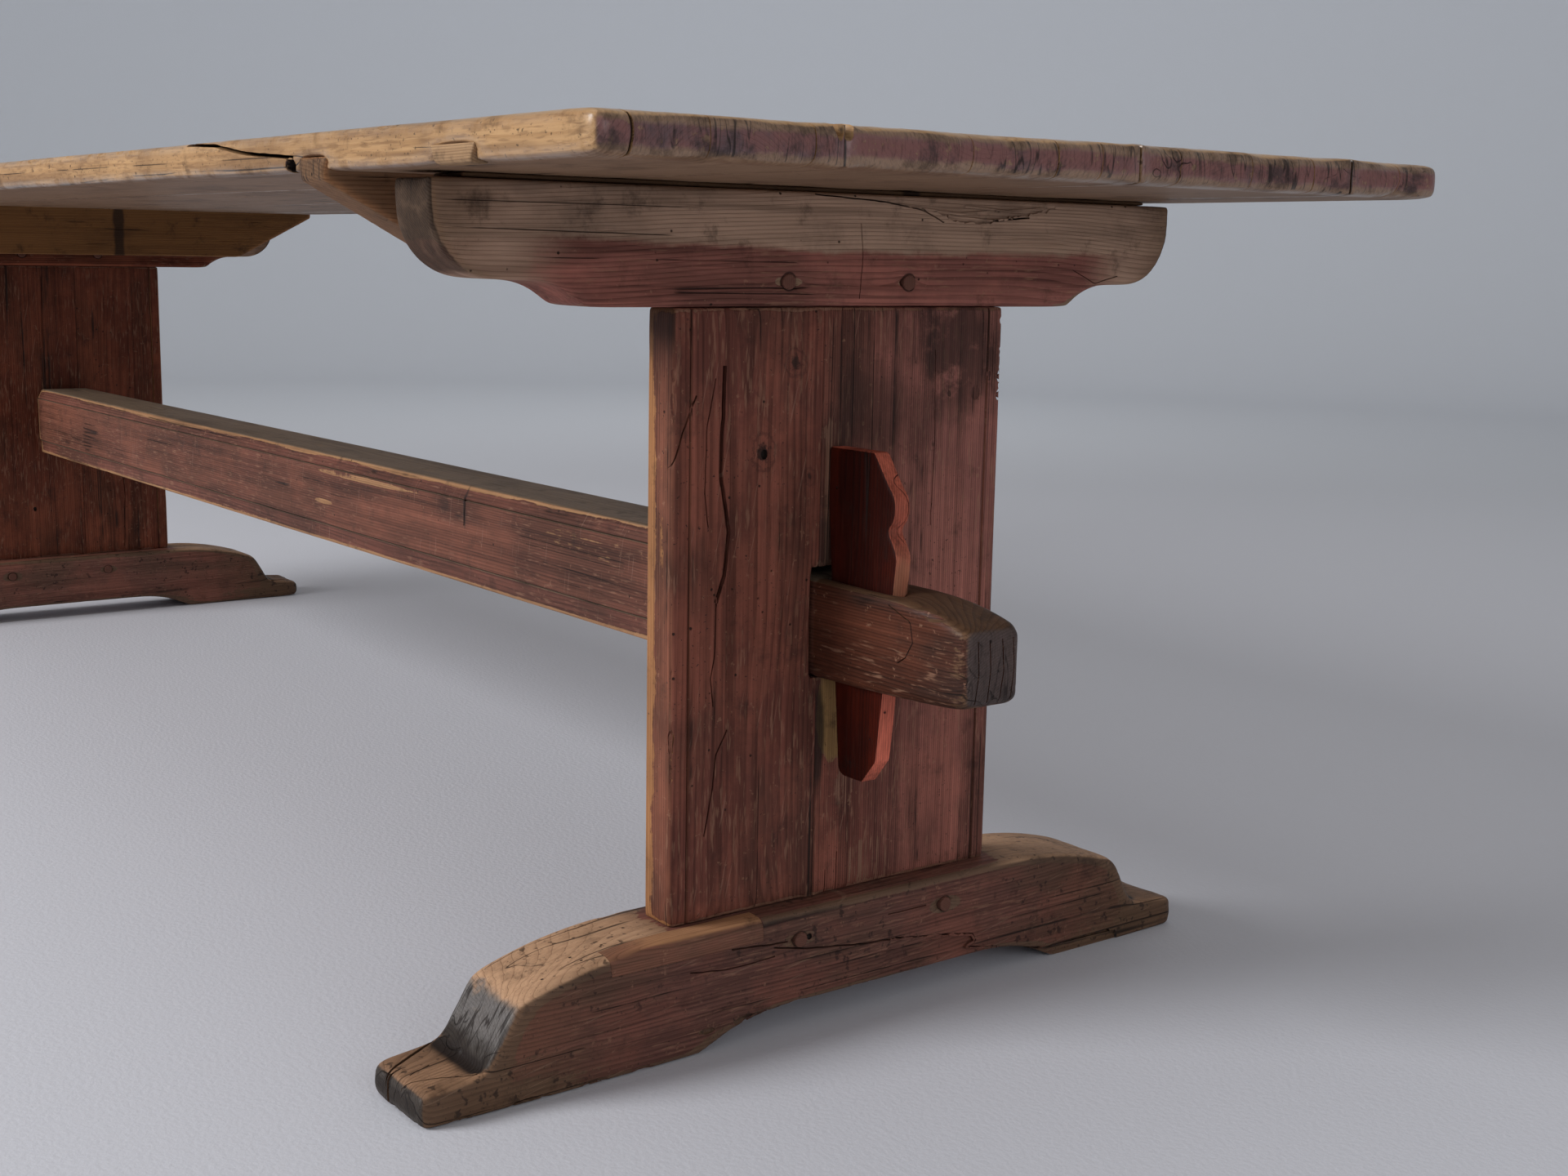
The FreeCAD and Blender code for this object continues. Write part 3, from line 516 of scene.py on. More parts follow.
def wearTree():
    # Rounds the arrises unevenly, lets the faces wave and dents them; keeps the arris as an attribute
    tree = Tree(bpy.data.node_groups.new("wearTimber", "GeometryNodeTree"))
    given, sockets = tree.entry(rounding="Float", waves="Float", dents="Float", seed="Float", spread="Int",
                                lowJoint="Float", highJoint="Float", softFrom="Float", firm="Float",
                                stretch="Vector", finish="Material")
    place = tree.node("GeometryNodeInputPosition")
    outward = tree.node("GeometryNodeInputNormal")
    blur = tree.node("GeometryNodeBlurAttribute", {"data_type": "FLOAT_VECTOR"},
                     {"Iterations": given["spread"]}).socket.node
    tree.tree.links.new(place.socket, next(s for s in blur.inputs if s.enabled and s.name == "Value"))
    blurred = Wire(tree, next(s for s in blur.outputs if s.enabled))
    inward = tree.vector("SUBTRACT", blurred, place)
    lift = tree.vector("DOT_PRODUCT", inward, outward, 1) * -1
    spot = tree.vector("MULTIPLY", place, given["stretch"])
    spot = tree.vector("ADD", spot, tree.pack(given["seed"], given["seed"] * 1.7, given["seed"] * -2.3))
    uneven = tree.noise(spot, 14, 3).step(0.35, 0.68) * 0.75 + 0.25
    x, y = tree.split(place)[:2]
    crisp = (y - given["lowJoint"]).size().step(0.003, 0.016)
    crisp = crisp * (y - given["highJoint"]).size().step(0.003, 0.016)
    soft = ((x.size() - given["softFrom"]) * 16).most(0).least(1)
    soft = given["firm"] + (1 - given["firm"]) * soft
    moved = tree.vector("SCALE", inward, scale=given["rounding"] * uneven * crisp * soft)
    waves = (tree.noise(spot, 7, 2) - 0.5) * 2 + (tree.noise(spot, 60, 3, 0.6) - 0.5) * 0.5
    dents = tree.noise(spot, 45, 2, 0.5).step(0.63, 0.76)
    shift = tree.vector("SCALE", outward, scale=waves * given["waves"] - dents * given["dents"])
    stored = tree.node("GeometryNodeStoreNamedAttribute", {"data_type": "FLOAT", "domain": "POINT"},
                       {"Geometry": given["Geometry"], "Name": "arris", "Value": lift * 500})
    worn = tree.node("GeometryNodeSetPosition", None,
                     {"Geometry": stored, "Offset": tree.vector("ADD", moved, shift)})
    tree.leave(worn, given["finish"])
    return tree.tree, sockets


def crackTree():
    # A tapering wedge swept along a path on a face
    tree = Tree(bpy.data.node_groups.new("crackBlade", "GeometryNodeTree"))
    given, sockets = tree.entry(width="Float", depth="Float", wander="Float", seed="Float", clear="Float",
                                startTip="Float", endTip="Float", outward="Vector", finish="Material")
    path = tree.node("GeometryNodeMeshToCurve", None, {0: given["Geometry"]})
    path = tree.node("GeometryNodeResampleCurve", {"mode": "LENGTH"}, {"Curve": path, "Length": 0.004})
    spot = tree.vector("ADD", tree.node("GeometryNodeInputPosition"), tree.pack(given["seed"], 0, 0))
    drift = tree.vector("SUBTRACT", tree.node("ShaderNodeTexNoise", None, {"Vector": spot, "Scale": 70}, 1),
                        (0.5, 0.5, 0.5))
    drift = tree.vector("SCALE", drift, scale=given["wander"])
    path = tree.node("GeometryNodeSetPosition", None, {"Geometry": path, "Offset": drift})
    path = tree.node("GeometryNodeSetCurveNormal", {"mode": "FREE"},
                     {"Curve": path, "Normal": given["outward"]})
    share = tree.node("GeometryNodeSplineParameter")
    taper = (share * 2).most(given["startTip"]).least(((1 - share) * 2).most(given["endTip"])).least(1)
    swell = tree.noise(spot, 90, 2) * 0.5 + 0.75
    path = tree.node("GeometryNodeSetCurveRadius", None, {"Curve": path, "Radius": (taper ** 0.7) * swell})
    mouth = given["width"] * 0.5 * (given["clear"] / given["depth"] + 1)
    tip = 0.0001  # half the width of the blade's inner edge
    corners = ((given["clear"], mouth), (given["clear"], mouth * -1),
               (given["depth"] * -1, -tip), (given["depth"] * -1, tip))
    corners = {f"Point {number}": tree.pack(out, across, 0)
               for number, (out, across) in enumerate(corners, 1)}
    wedge = tree.node("GeometryNodeCurvePrimitiveQuadrilateral", {"mode": "POINTS"}, corners)
    blade = tree.node("GeometryNodeCurveToMesh", None,
                      {"Curve": path, "Profile Curve": wedge, "Fill Caps": True})
    tree.leave(blade, given["finish"])
    return tree.tree, sockets


def chipTree():
    # Lumpy balls at given places, that scoop chips out of an arris
    tree = Tree(bpy.data.node_groups.new("chipBalls", "GeometryNodeTree"))
    given, sockets = tree.entry(lumps="Float", seed="Float", finish="Material")
    ball = tree.node("GeometryNodeMeshIcoSphere", None, {"Radius": 1.0, "Subdivisions": 3})
    reach = tree.node("GeometryNodeInputNamedAttribute", {"data_type": "FLOAT_VECTOR"}, {"Name": "reach"})
    points = tree.node("GeometryNodeMeshToPoints", None, {"Mesh": given["Geometry"]})
    balls = tree.node("GeometryNodeInstanceOnPoints", None,
                      {"Points": points, "Instance": ball, "Scale": reach})
    balls = tree.node("GeometryNodeRealizeInstances", None, {0: balls})
    spot = tree.vector("ADD", tree.node("GeometryNodeInputPosition"), tree.pack(given["seed"], 0, 0))
    lump = (tree.noise(spot, 160, 2) - 0.5) * given["lumps"]
    push = tree.vector("SCALE", tree.node("GeometryNodeInputNormal"), scale=lump)
    balls = tree.node("GeometryNodeSetPosition", None, {"Geometry": balls, "Offset": push})
    tree.leave(balls, given["finish"])
    return tree.tree, sockets


wearGroup = wearTree()
crackGroup = crackTree()
chipGroup = chipTree()


def grow(name, mesh, group, **values):
    # The plain mesh that a geometry tree makes of a mesh
    made = linked(name, mesh)
    maker = made.modifiers.new("maker", "NODES")
    maker.node_group, sockets = group
    for key, value in values.items():
        maker[sockets[key]] = value
    return evaluated(made)


def onFace(axis, at, pairs):
    return [tuple(list(pair[:axis]) + [at] + list(pair[axis:])) for pair in pairs]


def crack(face, pairs, width, depth, seed, tips=(0.2, 0.2), wander=0.0016, hollow=-1.0):
    # face is an axis, where the face lies on it, and the way it looks; hollow paints shade into the cut,
    # darkening it
    axis, at, way = face
    points = onFace(axis, at, pairs)
    mesh = bpy.data.meshes.new("crackPath")
    mesh.from_pydata(points, [(step, step + 1) for step in range(len(points) - 1)], [])
    outward = [0.0, 0.0, 0.0]
    outward[axis] = float(way)
    made = grow("crackBlade", mesh, crackGroup, width=width, depth=depth, wander=wander, seed=float(seed),
                clear=crackClear, startTip=tips[0], endTip=tips[1], outward=outward)
    made["hollow"] = hollow
    return made


def chips(places, seed, lumps=0.004, hollow=0.5):
    # A hollow below zero paints shade into the chip
    mesh = bpy.data.meshes.new("chipPlaces")
    mesh.from_pydata([middle for middle, reach in places], [], [])
    sizes = mesh.attributes.new("reach", "FLOAT_VECTOR", "POINT")
    sizes.data.foreach_set("vector", [value for middle, reach in places for value in reach])
    made = grow("chipBalls", mesh, chipGroup, lumps=lumps, seed=float(seed))
    made["hollow"] = hollow
    return made


def nicks(start, end, count, reach, seed):
    # Seeded small chips along an arris
    draw = np.random.default_rng(seed)
    places = []
    for share, scale in zip(draw.uniform(0, 1, count), draw.uniform(0.4, 1.3, count)):
        places.append((Vector(start).lerp(Vector(end), share), [value * scale for value in reach]))
    return chips(places, seed)


def flake(face, corners, seed, step=0.003, jitter=0.0009, hollow=-0.3):
    # A torn-off layer: corners are two places on the face and the depth there; hollow paints shade into it
    axis, at, way = face
    draw = np.random.default_rng(seed)
    ring = np.array(corners + corners[:1], float)
    outline = []
    for start, end in zip(ring[:-1], ring[1:]):
        count = max(1, int(np.linalg.norm((end - start)[:2]) / step))
        for share in np.arange(count) / count:
            place = start + (end - start) * share
            place[:2] += draw.normal(0, jitter, 2)
            outline.append(place)
    top = onFace(axis, at + way * flakeClear, [tuple(place[:2]) for place in outline])
    bottom = [onFace(axis, at - way * place[2], [tuple(place[:2])])[0] for place in outline]
    count = len(outline)
    faces = [tuple(range(count)), tuple(range(2 * count - 1, count - 1, -1))]
    for side in range(count):
        after = (side + 1) % count
        faces.append((after, side, count + side, count + after))
    mesh = bpy.data.meshes.new("flake")
    mesh.from_pydata(top + bottom, [], faces)
    made = linked("flake", mesh)
    made["hollow"] = hollow
    return made


def joinedCutter(cuts):
    # One closed mesh of all the cuts, each with its own depth of hollow, which below zero paints shade into
    # the cut faces
    shape = bmesh.new()
    hollows = []
    for cut in cuts:
        shape.from_mesh(cut.data)
        hollows += [cut["hollow"]] * len(cut.data.vertices)
        bpy.data.objects.remove(cut)
    bmesh.ops.triangulate(shape, faces=shape.faces)
    bmesh.ops.recalc_face_normals(shape, faces=shape.faces)
    mesh = bpy.data.meshes.new("cutter")
    shape.to_mesh(mesh)
    shape.free()
    hollow = mesh.attributes.get("arris") or mesh.attributes.new("arris", "FLOAT", "POINT")
    hollow.data.foreach_set("value", hollows)
    return linked("cutter", mesh)


def cutBy(made, tool, operation="DIFFERENCE"):
    split = made.modifiers.new("cuts", "BOOLEAN")
    split.operation = operation
    split.solver = "MANIFOLD"
    split.object = tool
    evaluated(made)
    bpy.data.objects.remove(tool)


def letInBox(node, gap):
    # The bed of a piece let into an arris: open outwards and upwards
    low, high = (Vector(corner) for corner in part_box(node))
    low -= Vector((gap, gap, gap))
    high += Vector((bedClear, gap, bedClear))
    mesh = bpy.data.meshes.new("letInBox")
    shape = bmesh.new()
    turn = Matrix.Translation((low + high) / 2) @ Matrix.Diagonal((*(high - low), 1))
    bmesh.ops.create_cube(shape, size=1, matrix=turn)
    shape.to_mesh(mesh)
    shape.free()
    return linked("letInBox", mesh)


def agedTimber(node, along, spec, finish, seed, cuts=(), joints=(noJoint, noJoint), letIn=None):
    # Copy, wear and crack a node, and put the piece on its body; a let-in node wears along with it
    name = node + "_worn"
    made = gridCopy(name, [node, letIn["node"]] if letIn else [node], along, *spec["grid"])
    stretch = [1.0, 1.0, 1.0]
    stretch[along] = spec.get("grainShare", 0.2)
    ageing = made.modifiers.new("wear", "NODES")
    ageing.node_group, sockets = wearGroup
    for key in ("rounding", "waves", "dents", "spread"):
        ageing[sockets[key]] = spec[key]
    ageing[sockets["seed"]] = float(seed)
    ageing[sockets["lowJoint"]], ageing[sockets["highJoint"]] = joints
    ageing[sockets["softFrom"]] = spec.get("softFrom", -1.0)
    ageing[sockets["firm"]] = spec.get("firm", 1.0)
    ageing[sockets["stretch"]] = stretch
    ageing[sockets["finish"]] = finish
    evaluated(made)
    if cuts:
        cutBy(made, joinedCutter(cuts))
    if letIn:
        piece = linked(letIn["node"] + "_worn", made.data.copy())
        cutBy(piece, letInBox(letIn["node"], 0.0), "INTERSECT")
        cutBy(made, letInBox(letIn["node"], letIn["gap"]))
        piece.data.materials.clear()
        piece.data.materials.append(letIn["finish"])
        settle(piece, letIn["node"])
    settle(made, node)


def settle(made, node):
    # Shade a finished piece and put it in the node's place
    made.data.shade_smooth()
    made.data.set_sharp_from_angle(angle=sharpTurn)
    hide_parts(node)
    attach(made, bodyOf[node])
    print(made.name, sum(len(face.vertices) - 2 for face in made.data.polygons), "triangles")


def side(node, axis, way):
    # A face of a node's box, as crack and flake take it
    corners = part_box(node)
    return axis, corners[1 if way > 0 else 0][axis], way


def wayOf(name):
    # Where a trestle or its piece stands along the table
    return 1 if name.startswith("right") else -1


def turned(pairs, way, otherWay=1):
    # The same places on the other trestle, which is turned half round
    return [(first * way, second * otherWay) for first, second in pairs]


makeCamera()
makeStudio()
print("camera and studio made")


# The loose top: four boards, their battens and the patch

topSpec = dict(grid=(0.003, 2.6), rounding=1.0, waves=0.0013, dents=0.0012, spread=12, ring=0.0034,
               paintFrom=0.007, paintTo=0.026, paintFade=0.004, farShift=0.05)
topBoards = {  # pith across and up; end splits as a place across and a width, long splits as paths
    "front_top_board": dict(
        seed=1, pith=(-0.33, 0.70), endSplits=[(-0.404, 0.0024), (-0.260, 0.0009), (-0.345, 0.0007)],
        longSplits=[[(1.44, -0.404), (1.28, -0.398), (1.10, -0.401)],
                    [(-1.44, -0.30), (-1.2, -0.306), (-0.95, -0.302)]]),
    "inner_front_top_board": dict(
        seed=2, pith=(-0.10, 0.84), endSplits=[(-0.036, 0.0014), (-0.120, 0.0007), (0.010, 0.0008)],
        longSplits=[[(1.44, -0.036), (1.22, -0.042), (0.96, -0.038)],
                    [(0.40, -0.15), (0.05, -0.156), (-0.35, -0.152)]]),
    "inner_back_top_board": dict(
        seed=3, pith=(0.17, 0.69), endSplits=[(0.096, 0.0009), (0.180, 0.0007), (0.257, 0.0010)],
        longSplits=[[(-1.44, 0.19), (-1.1, 0.197), (-0.7, 0.192)]]),
    "back_top_board": dict(
        seed=4, pith=(0.40, 0.85), endSplits=[(0.372, 0.0008)],
        longSplits=[[(-1.44, 0.365), (-1.26, 0.37), (-1.05, 0.367)]]),
}


def topFinish(node, seed, pith, joints):
    wood = Timber(node + "_pine", alongX, seed, pith, topSpec["ring"])
    up, down, end, rim = wood.facing(2, 1), wood.facing(2, -1), wood.facing(0), wood.facing(1)
    colour = wood.grain(**honey)
    stain = wood.patches.step(0.40, 0.70) * 0.4
    colour = wood.mix(up * stain, colour, (0.17, 0.10, 0.055))
    scores = wood.scratches(wood.x, wood.y, 0.35).most(wood.scratches(wood.x, wood.y, -0.7, 5.0))
    colour = wood.mix(up * scores * 0.3, colour, (0.50, 0.35, 0.2))
    colour = wood.mix(down, colour, wood.grain(**shaded))
    slits = wood.noise(wood.pack(wood.far * 3, wood.wide * 60, 0.0), 1, 1, 0.3)
    slits = down * slits.step(0.70, 0.73)
    ragged = (wood.blots - 0.5) * 0.014 + (wood.smudges - 0.5) * 0.010
    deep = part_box(node)[1][2] - wood.z - ragged
    start, stop, fade = topSpec["paintFrom"], topSpec["paintTo"], topSpec["paintFade"]
    band = deep.step(start, start + fade) * deep.step(stop, stop - fade)
    bare = 1 - end * band * wood.speckle.step(0.30, 0.42)
    dusk = (wood.blots + (wood.y + 0.2) * -0.35).step(0.46, 0.66)
    paint = wood.mix(dusk, (0.21, 0.095, 0.086), (0.10, 0.074, 0.082))
    paint = wood.mix(wood.smudges.step(0.48, 0.64) * 0.75, paint, (0.05, 0.036, 0.036))
    raw = wood.mix(wood.fibre, (0.36, 0.22, 0.14), (0.17, 0.10, 0.06))
    raw = wood.mix(wood.smudges.step(0.46, 0.62) * 0.65, raw, (0.08, 0.052, 0.038))
    colour = wood.mix(end, colour, raw)
    colour = wood.mix(1 - bare, colour, paint)
    marks = slits.most(end * wood.endChecks(wood.y, wood.z, seed) * 0.85)
    marks = marks.most(rim * wood.noises(300).step(0.64, 0.70) * 0.7)
    colour = wood.mix(rim * wood.streaks.step(0.50, 0.66) * 0.55, colour, (0.19, 0.10, 0.048))
    colour = wood.mix(rim * wood.flecks.step(0.50, 0.64) * 0.5, colour, (0.21, 0.11, 0.05))
    for joint in joints:
        marks = marks.most((wood.y - joint).size().step(0.0016, 0.0006) * 0.9)
    return wood.close(colour, bare, marks, gloss=0.12, rough=0.5, shine=0.75)


def endSplit(face, line, width, seed):
    # Deep painted shade inside the split
    return crack(face, line, width, 0.016, seed, tips=(1, 1), hollow=-4.0)


def topCuts():
    # Cracks, nicks and broken corners of each board
    first, last = "front_top_board", "back_top_board"
    end, far, face = side(first, 0, 1), side(first, 0, -1), side(first, 2, 1)
    edge, back = side(first, 1, -1), side(last, 1, 1)
    length, high, low = end[1], face[1], side(first, 2, -1)[1]
    shift = topSpec["farShift"]
    cuts = {}
    for node, board in topBoards.items():
        inside, seed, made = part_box(node), board["seed"], []
        for place, width in board["endSplits"]:
            line = [(place, high + 0.004), (place + 0.001, (high + low) / 2), (place - 0.001, low - 0.004)]
            made.append(endSplit(end, line, width, seed))
            if inside[0][1] < shift - place < inside[1][1]:
                made.append(endSplit(far, [(shift - across, up) for across, up in line], width, seed + 7))
        for number, line in enumerate(board["longSplits"]):
            made.append(crack(face, line, 0.0016, 0.009, seed + number, tips=(1, 0.2)))
        cuts[node] = made
    rise = [(0.74, 0.769), (0.81, 0.766), (0.885, 0.757), (0.985, 0.751)]
    cuts[first].append(crack(edge, rise, 0.0032, 0.030, 11, tips=(0.2, 1)))
    mouth = Vector((length, -0.236, high))
    for node, across in ((first, -0.003), ("inner_front_top_board", 0.005)):
        place = mouth + Vector((0, across, 0.001))
        cuts[node].append(chips([(place, (0.020, 0.005, 0.013))], 21, 0.004, -0.3))
    cuts[first].append(chips([((0.978, edge[1], 0.745), (0.010, 0.022, 0.006))], 22, 0.002, -1.0))
    arrises = ((first, edge[1], high, 34, (0.011, 0.004, 0.0035), 31),
               (first, edge[1], low, 22, (0.012, 0.003, 0.003), 32),
               (last, back[1], high, 34, (0.011, 0.004, 0.0035), 33))
    for node, across, up, count, reach, seed in arrises:
        cuts[node].append(nicks((-length, across, up), (length, across, up), count, reach, seed))
    return cuts


def joints(node, rim):
    # A board's edges that meet another board
    return [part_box(node)[end][1] for end in (0, 1) if abs(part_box(node)[end][1]) < rim - 0.001]


def twoJoints(node, rim):
    return (joints(node, rim) + [noJoint, noJoint])[:2]


def makeTop():
    cuts = topCuts()
    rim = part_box("back_top_board")[1][1]
    for node, board in topBoards.items():
        seed = board["seed"]
        finish = topFinish(node, seed, board["pith"], joints(node, rim))
        agedTimber(node, alongX, topSpec, finish, seed, cuts[node], twoJoints(node, rim))


battenSpec = dict(grid=(0.0022, 3), rounding=0.6, waves=0.0008, dents=0.0009, spread=5, ring=0.0028)
patchSpec = dict(grid=(0.0008, 2), rounding=0.9, waves=0.0004, dents=0.0005, spread=6, ring=0.0016)


def battenFinish(node, seed, tone):
    wood = Timber(node + "_wood", alongY, seed, (0.60, 0.98 if tone is sand else -0.98), battenSpec["ring"])
    colour = wood.grain(**tone)
    rub = (wood.arris + wood.streaks * 0.4).step(0.35, 0.9)
    colour = wood.mix(rub * 0.7, colour, wood.grain(**ochre))
    # End faces darker umber: darker end grain, with painted shade
    colour = wood.mix(wood.facing(1) * 0.7, colour, wood.grain(**umber))
    stain = wood.oval((-1.0, 0.072, 0.7), (None, 0.009, None), 0.6)
    marks = (wood.facing(1) * wood.endChecks(wood.x, wood.z)).most(stain * 0.8)
    return wood.close(colour, rub, marks, gloss=0.05)


def patchFinish(node, seed):
    wood = Timber(node + "_wood", alongX, seed, (-0.40, 0.80), patchSpec["ring"])
    return wood.close(wood.grain(**patched), wood.arris.step(0.2, 0.8), gloss=0.08)


def makeTopFittings():
    for node, seed, tone in (("right_batten", 5, sand), ("left_batten", 6, tawny)):
        agedTimber(node, alongY, battenSpec, battenFinish(node, seed, tone), seed)
    agedTimber("edge_patch", alongX, patchSpec, patchFinish("edge_patch", 8), 8)


# Trestles

bearerSpec = dict(grid=(0.0017, 3.5), rounding=1.0, waves=0.0011, dents=0.0010, spread=14, ring=0.0024,
                  paintLine=0.687)
panelSpec = dict(grid=(0.0013, 5), rounding=0.7, waves=0.0006, dents=0.0005, spread=6, ring=0.0026,
                 quirk=0.018)
footSpec = dict(grid=(0.0017, 3), rounding=1.0, waves=0.0014, dents=0.0014, spread=34, ring=0.0030,
                toeTop=0.031)
repairStrip = "right_foot_repair_strip"
pegSpec = dict(grid=(0.0009, 1.5), rounding=0.7, waves=0.0003, dents=0.0002, spread=3, ring=0.0014)


def pegRings(wood, node):
    # The dark joint round each peg of a pair, with its places read from the pegs' box
    low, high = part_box(node)
    radius = (high[2] - low[2]) / 2
    total = None
    for across in (low[1] + radius, high[1] - radius):
        away = ((wood.y - across) ** 2 + (wood.z - (low[2] + radius)) ** 2) ** 0.5
        ring = (away - radius - 0.0005).size().step(0.0013, 0.0004)
        total = ring if total is None else total.most(ring)
    return total


def bearerFinish(trestle, seed):
    wood = Timber(trestle + "_bearer_paint", alongY, seed, (0.60, 1.05 * wayOf(trestle)), bearerSpec["ring"])
    line = bearerSpec["paintLine"] + (wood.patches - 0.5) * 0.026 + (wood.smudges - 0.5) * 0.012
    bareHigh = (wood.z - line).step(-0.003, 0.004)
    reach = wood.y.size() + (wood.patches - 0.5) * 0.06 + (wood.smudges - 0.5) * 0.04
    ends = reach.step(0.275, 0.335)
    bare = bareHigh.most(ends * 0.9).most(wood.wearing(0.26, 0.3))
    raw = wood.mix(reach.step(0.33, 0.40) * 0.6, wood.grain(**greyed), wood.grain(**umber))
    nose = (wood.normal[1].size() + (wood.smudges - 0.5) * 0.4).step(0.25, 0.5)
    nose = nose * wood.y.size().step(0.27, 0.32)
    raw = wood.mix(nose * 0.95, raw, wood.grain(**sooted))
    rub = (wood.arris + wood.streaks * 0.5).step(0.55, 1.1) * (1 - nose)
    raw = wood.mix(rub * 0.45, raw, (0.26, 0.15, 0.08))
    raw = wood.mix(wood.blots.step(0.44, 0.66) * 0.4, raw, (0.10, 0.066, 0.05))
    raw = wood.mix(wood.streaks.step(0.46, 0.64) * 0.5, raw, (0.13, 0.082, 0.055))
    colour = wood.mix(bare, wood.coat(**(clearRed if trestle == "right" else farRed)), raw)
    lines = wood.facing(1) * wood.endChecks(wood.x, wood.z, seed)
    marks = (pegRings(wood, trestle + "_bearer_pegs") * 0.75).most(lines * 0.7)
    return wood.close(colour, bare, marks, rough=0.7)


panelKnots = {  # place across and up, radius, darkness
    "left": ((-0.059, 0.593, 0.009, 0.8), (-0.091, 0.515, 0.010, 0.9), (-0.041, 0.492, 0.006, 0.7)),
    "right": ((0.118, 0.560, 0.005, 0.8), (0.100, 0.515, 0.004, 0.6)),
}


def panelBlot(wood, across, up, wide, tall, ragged=0.5, edge=0.3):
    return wood.oval((0, across, up), (None, wide, tall), ragged, edge)


def panelFinish(node, seed, pith, details=""):
    wood = Timber(node + "_paint", alongZ, seed, pith, panelSpec["ring"])
    edge = wood.facing(1) * wood.y.size().step(0.15, 0.17)
    inner = (wood.x.size() + (wood.streaks - 0.5) * 0.03).step(1.144, 1.126) * 0.36
    extra = edge * (0.05 + inner + (wood.blots - 0.5) * 0.5 + (wood.streaks - 0.5) * 0.8)
    extra = extra + wood.blots.step(0.58, 0.72) * 0.07
    marks = edge * (wood.z + (wood.blots - 0.5) * 0.1).step(0.57, 0.63) * 0.75
    for across, up, radius, darkness in panelKnots.get(details, ()):
        marks = marks.most(wood.knot(wood.y, wood.z, (across, up), radius) * darkness)
    raw = wood.mix(edge, wood.grain(**reddened), wood.grain(**ochre))
    if details == "right":
        ghost = panelBlot(wood, -0.010, 0.274, 0.0175, 0.045, 0.7, 0.12)
        strip = panelBlot(wood, -0.020, 0.47, 0.0035, 0.07, 0.6)
        above = panelBlot(wood, -0.010, 0.530, 0.017, 0.012, 1.4, 0.7) * wood.fibre.step(0.40, 0.56)
        below = panelBlot(wood, 0.004, 0.210, 0.010, 0.020, 1.4, 0.7) * wood.fibre.step(0.40, 0.56)
        low = panelBlot(wood, 0.035, 0.13, 0.028, 0.024, 0.6) * wood.fibre.step(0.42, 0.6)
        extra = extra + ghost * 0.7 + strip * 0.5 + above * 0.3 + below * 0.35 + low * 0.4
        raw = wood.mix(ghost, raw, wood.grain(**olive))
        stain = panelBlot(wood, 0.135, 0.60, 0.05, 0.055, 0.9, 0.45) * wood.smudges.step(0.36, 0.52)
        smoke = panelBlot(wood, 0.03, 0.55, 0.055, 0.04, 0.9, 0.5) * 0.45
        shade = panelBlot(wood, -0.026, 0.43, 0.014, 0.03, 0.4) * 0.6
        under = panelBlot(wood, -0.026, 0.255, 0.008, 0.05, 0.5) * 0.85
        marks = marks.most(stain * 0.7).most(smoke).most(shade).most(under)
    bare = wood.wearing(0.22, 0.30, extra)
    coat = wood.coat(**(deepRed if details else farRed))
    if details:
        # Painted light: paler paint towards +Y and towards the top, where the panel is more lit; partly a
        # real change of tone between the boards
        light = (wood.y + (wood.blots - 0.5) * 0.16).step(-0.03, 0.10)
        light = light * (0.5 + wood.z.step(0.20, 0.46) * 0.5)
        coat = wood.mix(light, coat, wood.coat(**litRed))
    coat = wood.mix(edge, coat, wood.coat(**edgeRed))
    colour = wood.mix(bare, coat, raw)
    pale = wood.scratches(wood.y, wood.z, 1.35) * (1 - edge)
    colour = wood.mix(pale * 0.3, colour, (0.36, 0.20, 0.14))
    knocks = wood.noises(330).step(0.66, 0.72) * wood.blots.step(0.44, 0.56)
    marks = marks.most(knocks * 0.8)
    return wood.close(colour, bare, marks, gloss=0.05, split=(0.012, 0.50))


